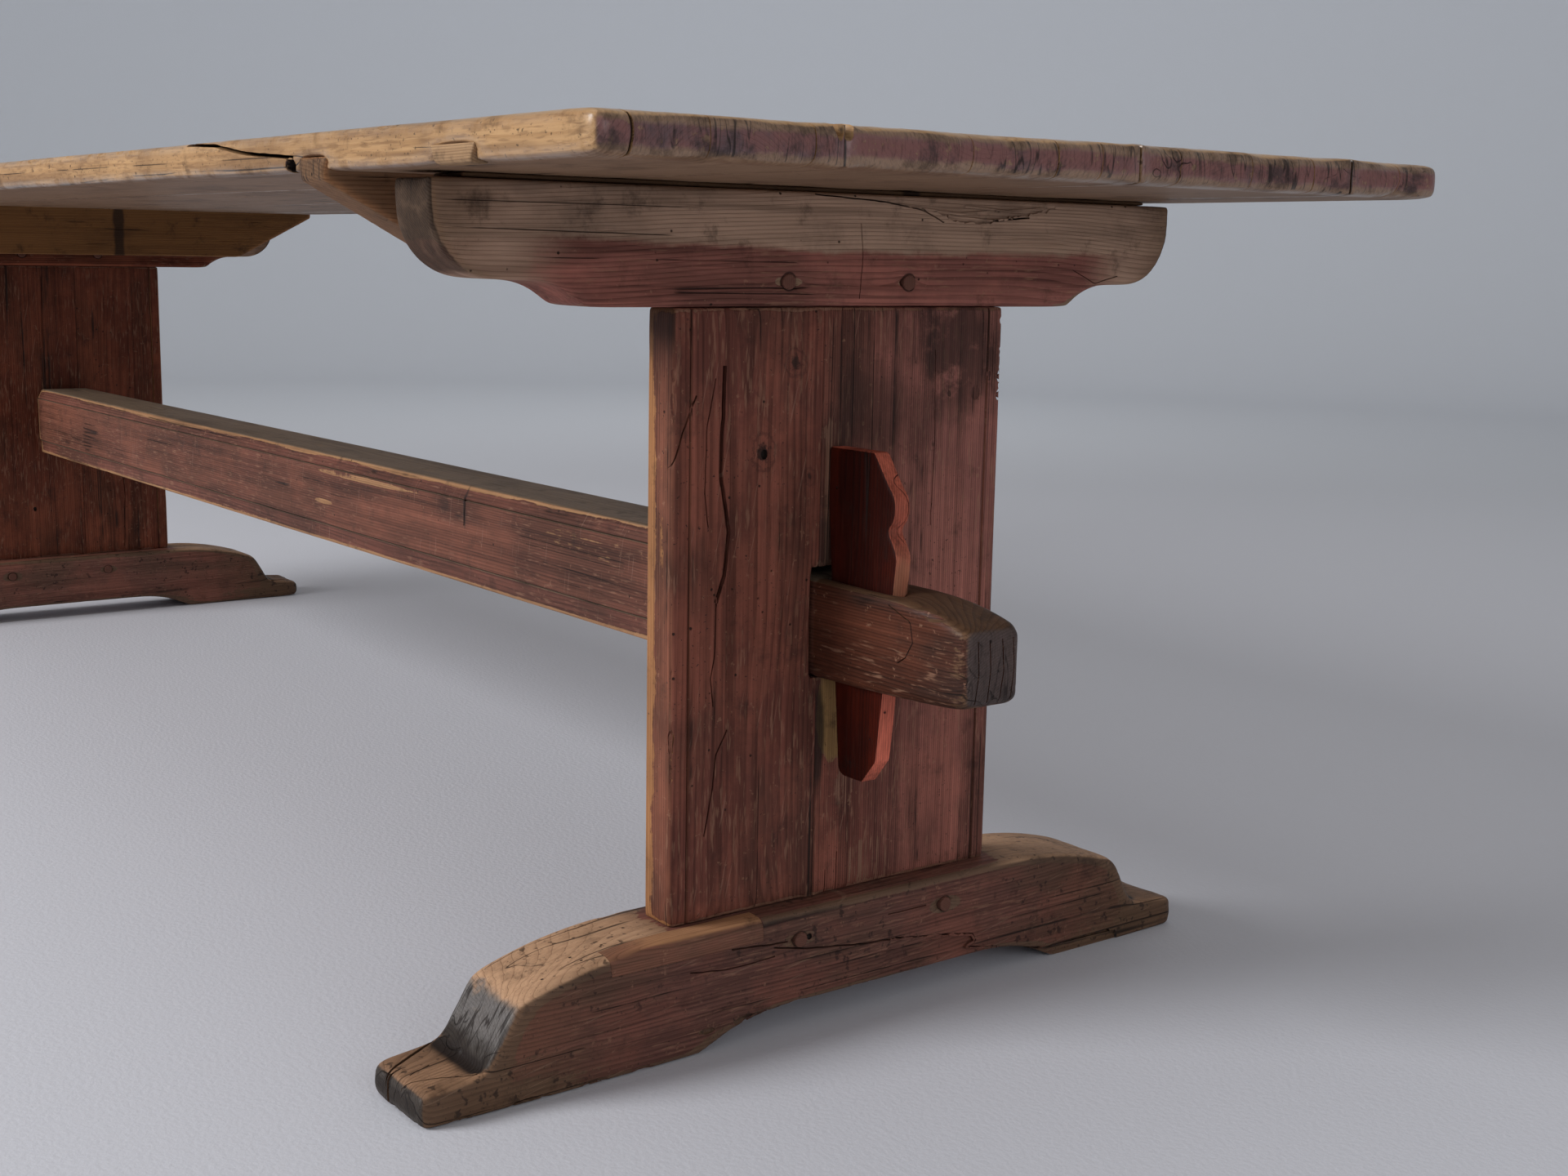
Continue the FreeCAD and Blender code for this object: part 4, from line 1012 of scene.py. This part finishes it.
def footFinish(trestle, seed):
    wood = Timber(trestle + "_foot_paint", alongY, seed, (-0.05, 1.10 * wayOf(trestle)), footSpec["ring"])
    reach = wood.y.size() + (wood.patches - 0.5) * 0.06
    up, ends = wood.facing(2, 1), wood.facing(1)
    hump = up * reach.step(0.16, 0.22) * wood.z.step(0.045, 0.060)
    toe = reach.step(0.35, 0.37) * wood.z.step(0.060, 0.045)
    toes = reach.step(0.20, 0.38)
    hem = (wood.z + (wood.patches - 0.5) * 0.03).step(0.035, 0.012)
    bare = wood.wearing(0.19, 0.36, hump * 0.55 + toes * 0.12 + hem * 0.15 + toe * 0.4)
    raw = wood.mix(hump, wood.grain(**trodden), wood.grain(**tread))
    coat = wood.coat(**(brownRed if trestle == "right" else farBrown))
    colour = wood.mix(bare, coat, raw)
    colour = wood.mix(toes * (1 - hump) * 0.5, colour, wood.grain(**umber))
    step = toe * up * wood.blots.step(0.36, 0.52)
    colour = wood.mix(step * 0.9, colour, wood.grain(**stepped))
    riser = ends * (wood.y.size() + (wood.smudges - 0.5) * 0.03).step(0.33, 0.345)
    iron = wood.mix(toe, wood.grain(**slate), wood.grain(**tarred))
    colour = wood.mix(riser * wood.blots.step(0.22, 0.38) * 0.92, colour, iron)
    rub = riser * (wood.arris + wood.speckle * 0.3).step(0.5, 1.0)
    colour = wood.mix(rub * (0.3 - toe * 0.2), colour, (0.26, 0.22, 0.19))
    lines = riser * wood.endChecks(wood.x, wood.z, seed)
    marks = (pegRings(wood, trestle + "_foot_pegs") * 0.6).most(lines * 0.85)
    knocks = wood.noises(120).step(0.60, 0.68) * wood.patches.step(0.42, 0.54)
    marks = marks.most(knocks * 0.7).most(wood.noises(420).step(0.66, 0.72) * 0.6)
    pale = wood.scratches(wood.y, wood.z, 0.2, 4.0) * (1 - ends)
    colour = wood.mix(pale * 0.2, colour, (0.36, 0.24, 0.16))
    return wood.close(colour, bare, marks, gloss=0.10, split=(0.016, 0.45))


def repairFinish(node):
    # Orange new wood on top, stained like the foot in front and at its pointed end
    wood = Timber(node + "_wood", alongY, 33, (-0.40, 0.80), patchSpec["ring"])
    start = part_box(node)[0][1]
    front = (wood.normal[0] + (wood.streaks - 0.5) * 0.5).step(0.45, 0.8)
    front = front.most((wood.y + (wood.patches - 0.5) * 0.05).step(start + 0.05, start + 0.01) * 0.8)
    colour = wood.mix(front * 0.85, wood.grain(**fresh), wood.coat(**brownRed))
    return wood.close(colour, 1 - front, gloss=0.08)


def bearerCuts(trestle):
    node = trestle + "_bearer"
    way = wayOf(trestle)
    out, inner = side(node, 0, way), side(node, 0, -way)
    splits = [(out, [(0.010, 0.710), (0.013, 0.683), (0.010, 0.645)], 0.0008, 0.006),
              (out, [(-0.04, 0.733), (0.036, 0.729), (0.08, 0.723), (0.105, 0.713)], 0.0014, 0.010),
              (out, [(0.27, 0.672), (0.30, 0.66), (0.33, 0.667)], 0.0008, 0.006),
              (inner, [(-0.20, 0.70), (0.02, 0.704), (0.16, 0.70)], 0.0010, 0.008)]
    made = [crack(face, turned(line, way), width, depth, 41 + number)
            for number, (face, line, width, depth) in enumerate(splits)]
    loss = [(0.02, 0.734, 0.0005), (0.10, 0.720, 0.0014), (0.125, 0.713, 0.0018), (0.155, 0.713, 0.002),
            (0.20, 0.720, 0.0016), (0.245, 0.729, 0.0006), (0.245, 0.745, 0.0006), (0.02, 0.745, 0.0005)]
    made.append(flake(out, [(across * way, up, deep) for across, up, deep in loss], 45))
    tears = ((0.08, 0.17, 0.7235), (0.11, 0.21, 0.7185), (0.13, 0.23, 0.7275))
    for number, (start, end, up) in enumerate(tears):
        line = [(start, up), ((start + end) / 2, up - 0.003), (end, up + 0.001)]
        made.append(crack(out, turned(line, way), 0.0016, 0.009, 46 + number))
    return made


def panelCuts():
    # The near panel's splits and losses follow the photograph; the far panel has its own
    out, inner = side("right_narrow_panel_board", 0, 1), side("right_narrow_panel_board", 0, -1)
    farOut, farIn = side("left_wide_panel_board", 0, -1), side("left_wide_panel_board", 0, 1)
    rim = side("right_wide_panel_board", 1, 1)[1]
    return {
        "right_narrow_panel_board": [
            crack(out, [(-0.132, 0.590), (-0.133, 0.55), (-0.135, 0.50), (-0.126, 0.450), (-0.130, 0.413),
                        (-0.138, 0.39)], 0.0040, 0.016, 51, tips=(0.2, 0.35)),
            crack(out, [(-0.138, 0.395), (-0.139, 0.345), (-0.143, 0.324), (-0.140, 0.30)],
                  0.0012, 0.009, 52),
            crack(out, [(-0.141, 0.58), (-0.149, 0.54), (-0.151, 0.485), (-0.147, 0.455)],
                  0.0011, 0.008, 53),
            crack(out, [(-0.160, 0.566), (-0.174, 0.535), (-0.181, 0.512), (-0.187, 0.494)],
                  0.0016, 0.009, 54, tips=(0.2, 1)),
            crack(out, [(-0.125, 0.278), (-0.137, 0.256), (-0.139, 0.230), (-0.148, 0.186)],
                  0.0014, 0.009, 55),
            crack(inner, [(-0.10, 0.60), (-0.104, 0.48), (-0.10, 0.34)], 0.0016, 0.010, 56),
            chips([((out[1], -0.090, 0.514), (0.005, 0.0035, 0.0045))], 57, 0.002, -1.0),
            nicks((out[1], -0.183, 0.12), (out[1], -0.183, 0.62), 16, (0.004, 0.003, 0.012), 58),
        ],
        "right_wide_panel_board": [
            crack(out, [(-0.014, 0.132), (-0.014, 0.104)], 0.0009, 0.007, 61, tips=(0.2, 1)),
            crack(out, [(-0.001, 0.147), (-0.001, 0.104)], 0.0011, 0.007, 62, tips=(0.2, 1)),
            crack(out, [(0.10, 0.60), (0.102, 0.52), (0.10, 0.44)], 0.0007, 0.005, 63),
            crack(inner, [(0.05, 0.62), (0.054, 0.52), (0.05, 0.44)], 0.0012, 0.008, 64),
            nicks((out[1], rim, 0.555), (out[1], rim, 0.63), 12, (0.006, 0.005, 0.004), 65),
            nicks((out[1], rim, 0.13), (out[1], rim, 0.55), 8, (0.003, 0.002, 0.01), 66),
            chips([((out[1], 0.150, 0.560), (0.0012, 0.006, 0.007)),
                   ((out[1], 0.164, 0.575), (0.0015, 0.005, 0.008))], 67, 0.002, -0.5),
        ],
        "left_narrow_panel_board": [
            crack(farOut, [(0.12, 0.60), (0.124, 0.48), (0.118, 0.33)], 0.0022, 0.012, 71),
            crack(farIn, [(0.10, 0.30), (0.104, 0.22), (0.10, 0.12)], 0.0012, 0.008, 72),
        ],
        "left_wide_panel_board": [
            crack(farOut, [(-0.08, 0.34), (-0.084, 0.22), (-0.08, 0.12)], 0.0014, 0.009, 73),
            crack(farIn, [(-0.03, 0.62), (-0.033, 0.52), (-0.03, 0.43)], 0.0010, 0.008, 74),
            chips([((farIn[1], -0.06, 0.20), (0.003, 0.003, 0.004))], 75, 0.002, -1.0),
        ],
    }


def quirks(node):
    # The sunk line beside the bead, on both faces, with painted shade in it
    low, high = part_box(node)
    rim = low[1] if abs(low[1]) > abs(high[1]) else high[1]
    line = rim - math.copysign(panelSpec["quirk"], rim)
    path = [(line, low[2] - 0.002), (line, high[2] + 0.002)]
    return [crack(side(node, 0, way), path, 0.0034, 0.0034, 68, tips=(1, 1), wander=0.0004, hollow=-0.55)
            for way in (-1, 1)]


def footCuts(trestle):
    node = trestle + "_foot"
    way = wayOf(trestle)
    out, heel = side(node, 0, way), side(node, 1, -way)
    low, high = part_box(node)
    toe = (2, footSpec["toeTop"], 1)
    splits = [([(1.126, -0.433), (1.118, -0.415), (1.100, -0.376)], 0.0034, 0.016, 81, (1, 0.3)),
              ([(1.150, -0.433), (1.164, -0.402), (1.180, -0.377)], 0.0014, 0.010, 82, (1, 0.3)),
              ([(1.143, -0.418), (1.137, -0.398)], 0.0012, 0.008, 83, (0.2, 0.2))]
    made = [crack(toe, turned(line, way, way), width, depth, seed, tips)
            for line, width, depth, seed, tips in splits]
    made += [
        crack(heel, turned([(1.126, 0.036), (1.129, 0.018), (1.127, -0.004)], way),
              0.0034, 0.018, 84, (1, 1)),
        nicks((low[0], low[1], 0.0), (high[0], low[1], 0.0), 5, (0.010, 0.006, 0.005), 85),
        nicks((out[1], low[1], 0.0), (out[1], -0.17, 0.0), 12, (0.004, 0.012, 0.004), 86),
    ]
    if trestle == "left":
        line = turned([(-0.20, 0.06), (-0.05, 0.066), (0.12, 0.06)], way)
        return made + [crack(out, line, 0.0012, 0.009, 95)]
    return made + [
        crack(out, [(-0.089, 0.081), (-0.053, 0.073), (0.013, 0.064), (0.05, 0.061)],
              0.0016, 0.010, 87, (0.2, 1)),
        crack(out, [(-0.135, 0.089), (-0.073, 0.083)], 0.0016, 0.010, 88),
        crack(out, [(0.041, 0.086), (0.088, 0.086)], 0.0012, 0.008, 89),
        crack(out, [(-0.178, 0.077), (-0.139, 0.071), (-0.088, 0.073)], 0.0014, 0.010, 90),
        crack(out, [(0.05, 0.061), (0.075, 0.057), (0.112, 0.052), (0.147, 0.0455), (0.151, 0.038),
                    (0.140, 0.034), (0.176, 0.026), (0.203, 0.018)], 0.0030, 0.011, 96, (0.5, 0.5)),
        crack(out, [(0.203, 0.019), (0.25, 0.011), (0.345, 0.009)], 0.0022, 0.010, 97, (0.5, 0.3)),
        flake(out, [(0.045, 0.062, 0.0006), (0.075, 0.057, 0.0016), (0.112, 0.053, 0.0026),
                    (0.147, 0.046, 0.0034), (0.151, 0.038, 0.0034), (0.140, 0.034, 0.0034),
                    (0.178, 0.027, 0.003), (0.205, 0.018, 0.002), (0.205, 0.0, 0.002),
                    (0.02, 0.0, 0.0004)], 91),
        flake(out, [(0.20, 0.021, 0.003), (0.235, 0.012, 0.0035), (0.335, 0.013, 0.0035),
                    (0.348, 0.006, 0.003), (0.348, -0.008, 0.003), (0.20, -0.008, 0.003)], 92),
        chips([((out[1], -0.049, 0.083), (0.004, 0.003, 0.003))], 93, 0.002, -1.0),
        nicks((out[1], -0.17, 0.02), (out[1], 0.05, 0.024), 12, (0.005, 0.012, 0.004), 94),
    ]


def pegFinish(node, seed, along=alongX):
    wood = Timber(node + "_wood", along, seed, (0.01, 0.66), pegSpec["ring"])
    colour = wood.mix(wood.blots, (0.20, 0.085, 0.06), (0.12, 0.055, 0.04))
    colour = wood.mix(wood.late * 0.5, colour, (0.09, 0.04, 0.03))
    return wood.close(colour, wood.arris.step(0.3, 0.8))


def makePanel(trestle, board, seed, cuts):
    node = f"{trestle}_{board}_panel_board"
    way = wayOf(trestle)
    pith = turned([(1.06, -0.11) if board == "narrow" else (1.17, -0.60)], way, way)[0]
    details = {"narrow": "left", "wide": "right"}[board] if trestle == "right" else ""
    rim = max(abs(corner[1]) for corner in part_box(node))
    agedTimber(node, alongZ, panelSpec, panelFinish(node, seed, pith, details), seed,
               cuts[node] + quirks(node), twoJoints(node, rim))


def makeTrestles():
    cuts = panelCuts()
    stripSpec = pegSpec | dict(grid=(0.0011, 5))
    for trestle, seed in (("right", 10), ("left", 20)):
        bearer, foot, strip = trestle + "_bearer", trestle + "_foot", trestle + "_packing_strip"
        agedTimber(bearer, alongY, bearerSpec, bearerFinish(trestle, seed), seed, bearerCuts(trestle))
        repair = None
        if trestle == "right":
            repair = dict(node=repairStrip, gap=0.0003, finish=repairFinish(repairStrip))
        agedTimber(foot, alongY, footSpec, footFinish(trestle, seed + 1), seed + 1, footCuts(trestle),
                   letIn=repair)
        makePanel(trestle, "narrow", seed + 2, cuts)
        makePanel(trestle, "wide", seed + 3, cuts)
        for step, node in enumerate((bearer + "_pegs", foot + "_pegs")):
            agedTimber(node, alongX, pegSpec, pegFinish(node, seed + 4 + step), seed + 4 + step)
        agedTimber(strip, alongY, stripSpec, battenFinish(strip, seed + 6, umber), seed + 6)
        print(trestle, "trestle made")


# Stretcher and wedges

stretcherSpec = dict(grid=(0.0018, 5), rounding=1.0, waves=0.0008, dents=0.0010, spread=14, ring=0.0022,
                     softFrom=1.17, firm=0.3, tenonHalf=0.032, shoulder=1.117)
wedgeSpec = dict(grid=(0.0010, 3), rounding=0.7, waves=0.0003, dents=0.0002, spread=4, ring=0.0020)


def stretcherFinish():
    wood = Timber("stretcher_paint", alongX, 40, (0.03, 0.28), stretcherSpec["ring"])
    tenon = wood.x.size().step(1.158, 1.164)
    out = (wood.x.size() + (wood.patches - 0.5) * 0.08).step(1.19, 1.30)
    up, end = wood.facing(2, 1), wood.facing(0)
    wavy = wood.z + (wood.patches - 0.5) * 0.010 + (wood.streaks - 0.5) * 0.006
    rim = wavy.step(0.411, 0.415) * (1 - tenon)
    hem = wavy.step(0.311, 0.307) * (1 - tenon)
    graze = wood.oval((0.85, -0.047, 0.385), (0.22, None, 0.014), 0.9, 0.6)
    graze = graze * wood.flecks.step(0.46, 0.6)
    bevel = wood.z.step(0.401, 0.403) * (1 - tenon)
    band = wood.z.step(0.327, 0.325) * (1 - tenon)
    scuffed = wood.oval((0.27, -0.047, 0.396), (0.17, None, 0.004), 0.7) * 0.3
    patch = wood.oval((0.14, -0.047, 0.356), (0.025, None, 0.003), 0.3) * 0.6
    extra = up * 0.5 + rim * 0.34 + hem * 0.32 + graze * 0.22 + scuffed + patch + out * 0.10
    bare = wood.wearing(0.22, 0.42 - tenon * 0.30, extra)
    raw = wood.mix(up, wood.grain(**rubbed), wood.grain(**dusty))
    raw = wood.mix(tenon, raw, wood.grain(**tenonSide))
    raw = wood.mix(tenon * up * 0.7, raw, wood.grain(**tenonTop))
    coat = wood.mix(bevel.most(band) * 0.7, wood.coat(**beamRed), wood.coat(**mouldRed))
    coat = wood.mix(tenon, coat, wood.coat(**tenonRed))
    colour = wood.mix(bare, coat, raw)
    pale = wood.scratches(wood.x, wood.z, 1.4) * 0.25
    colour = wood.mix(pale * (1 - tenon), colour, (0.40, 0.27, 0.2))
    colour = wood.mix(end * 0.9, colour, wood.grain(**tenonEnd))
    marks = end * wood.endChecks(wood.y, wood.z, 3.0) * 0.85
    knot = wood.oval((0.532, -0.047, 0.392), (0.003, None, 0.024), 0.5)
    return wood.close(colour, bare, marks.most(knot * 0.7), gloss=0.12, rough=0.54)


def stretcherCuts():
    low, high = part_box("stretcher")
    front, back = (1, low[1], -1), (1, high[1], 1)
    cheek = (1, -stretcherSpec["tenonHalf"], -1)
    ring = [(1.262, 0.394), (1.291, 0.384), (1.295, 0.367), (1.286, 0.353), (1.276, 0.347)]
    shoulder = stretcherSpec["shoulder"]
    made = [crack(cheek, ring, 0.0009, 0.005, 101),
            crack(front, [(0.531, 0.420), (0.533, 0.395), (0.530, 0.372)], 0.0016, 0.002, 102, hollow=-0.6),
            chips([((1.27, -0.034, 0.402), (0.045, 0.006, 0.006)),
                   ((1.325, -0.033, 0.395), (0.030, 0.006, 0.007))], 103)]
    arrises = ((low[1], high[2], 20, (0.022, 0.004, 0.004)), (high[1], high[2], 16, (0.022, 0.004, 0.004)),
               (low[1], low[2], 22, (0.014, 0.003, 0.003)))
    for number, (across, up, count, reach) in enumerate(arrises):
        made.append(nicks((-1.1, across, up), (1.1, across, up), count, reach, 104 + number))
    # The moulding lines, with painted shade in them
    for face in (front, back):
        for level, width in ((0.326, 0.0034), (0.4015, 0.0016)):
            path = [(-shoulder, level), (shoulder, level)]
            made.append(crack(face, path, width, 0.0036, 112, tips=(1, 1), wander=0.0005, hollow=-0.5))
    for way in (1, -1):
        for number, across in enumerate((-0.019, -0.006, 0.008, 0.02)):
            line = [(across, 0.378), (across + 0.002, 0.352), (across - 0.001, 0.326)]
            made.append(crack(side("stretcher", 0, way), line, 0.0009, 0.006, 107 + number))
    return made


def wedgeFinish(node, seed):
    wood = Timber(node + "_paint", alongZ, seed, (1.18 * wayOf(node), -0.10), wedgeSpec["ring"])
    narrow = 1 - wood.facing(1)
    colour = wood.mix(narrow, wood.coat(**wedgeDark), wood.coat(**wedgeBright))
    foot = (wood.z + (wood.blots - 0.5) * 0.03).step(0.45, 0.42) * wood.z.step(0.385, 0.40)
    rub = (wood.arris + wood.speckle * 0.35).step(0.6, 1.1)
    bare = (narrow * foot * 0.7).most(rub * 0.5)
    colour = wood.mix(bare, colour, wood.grain(**wedgeBare))
    return wood.close(colour, bare, gloss=0.05, rough=0.55)


def makeStretcher():
    agedTimber("stretcher", alongX, stretcherSpec, stretcherFinish(), 40, stretcherCuts())
    for node, seed in (("right_wedge", 50), ("left_wedge", 51)):
        agedTimber(node, alongZ, wedgeSpec, wedgeFinish(node, seed), seed)


# Dowels stay as they are, inside the joints

def dressDowels():
    for node in ("top_dowels", "right_panel_dowels", "left_panel_dowels"):
        materials = frame["nodes"][node].data.materials
        materials.clear()
        materials.append(pegFinish(node, 60 + len(node), alongY))


makeTop()
makeTopFittings()
print("top made")
makeTrestles()
makeStretcher()
dressDowels()
print("stretcher and wedges made")
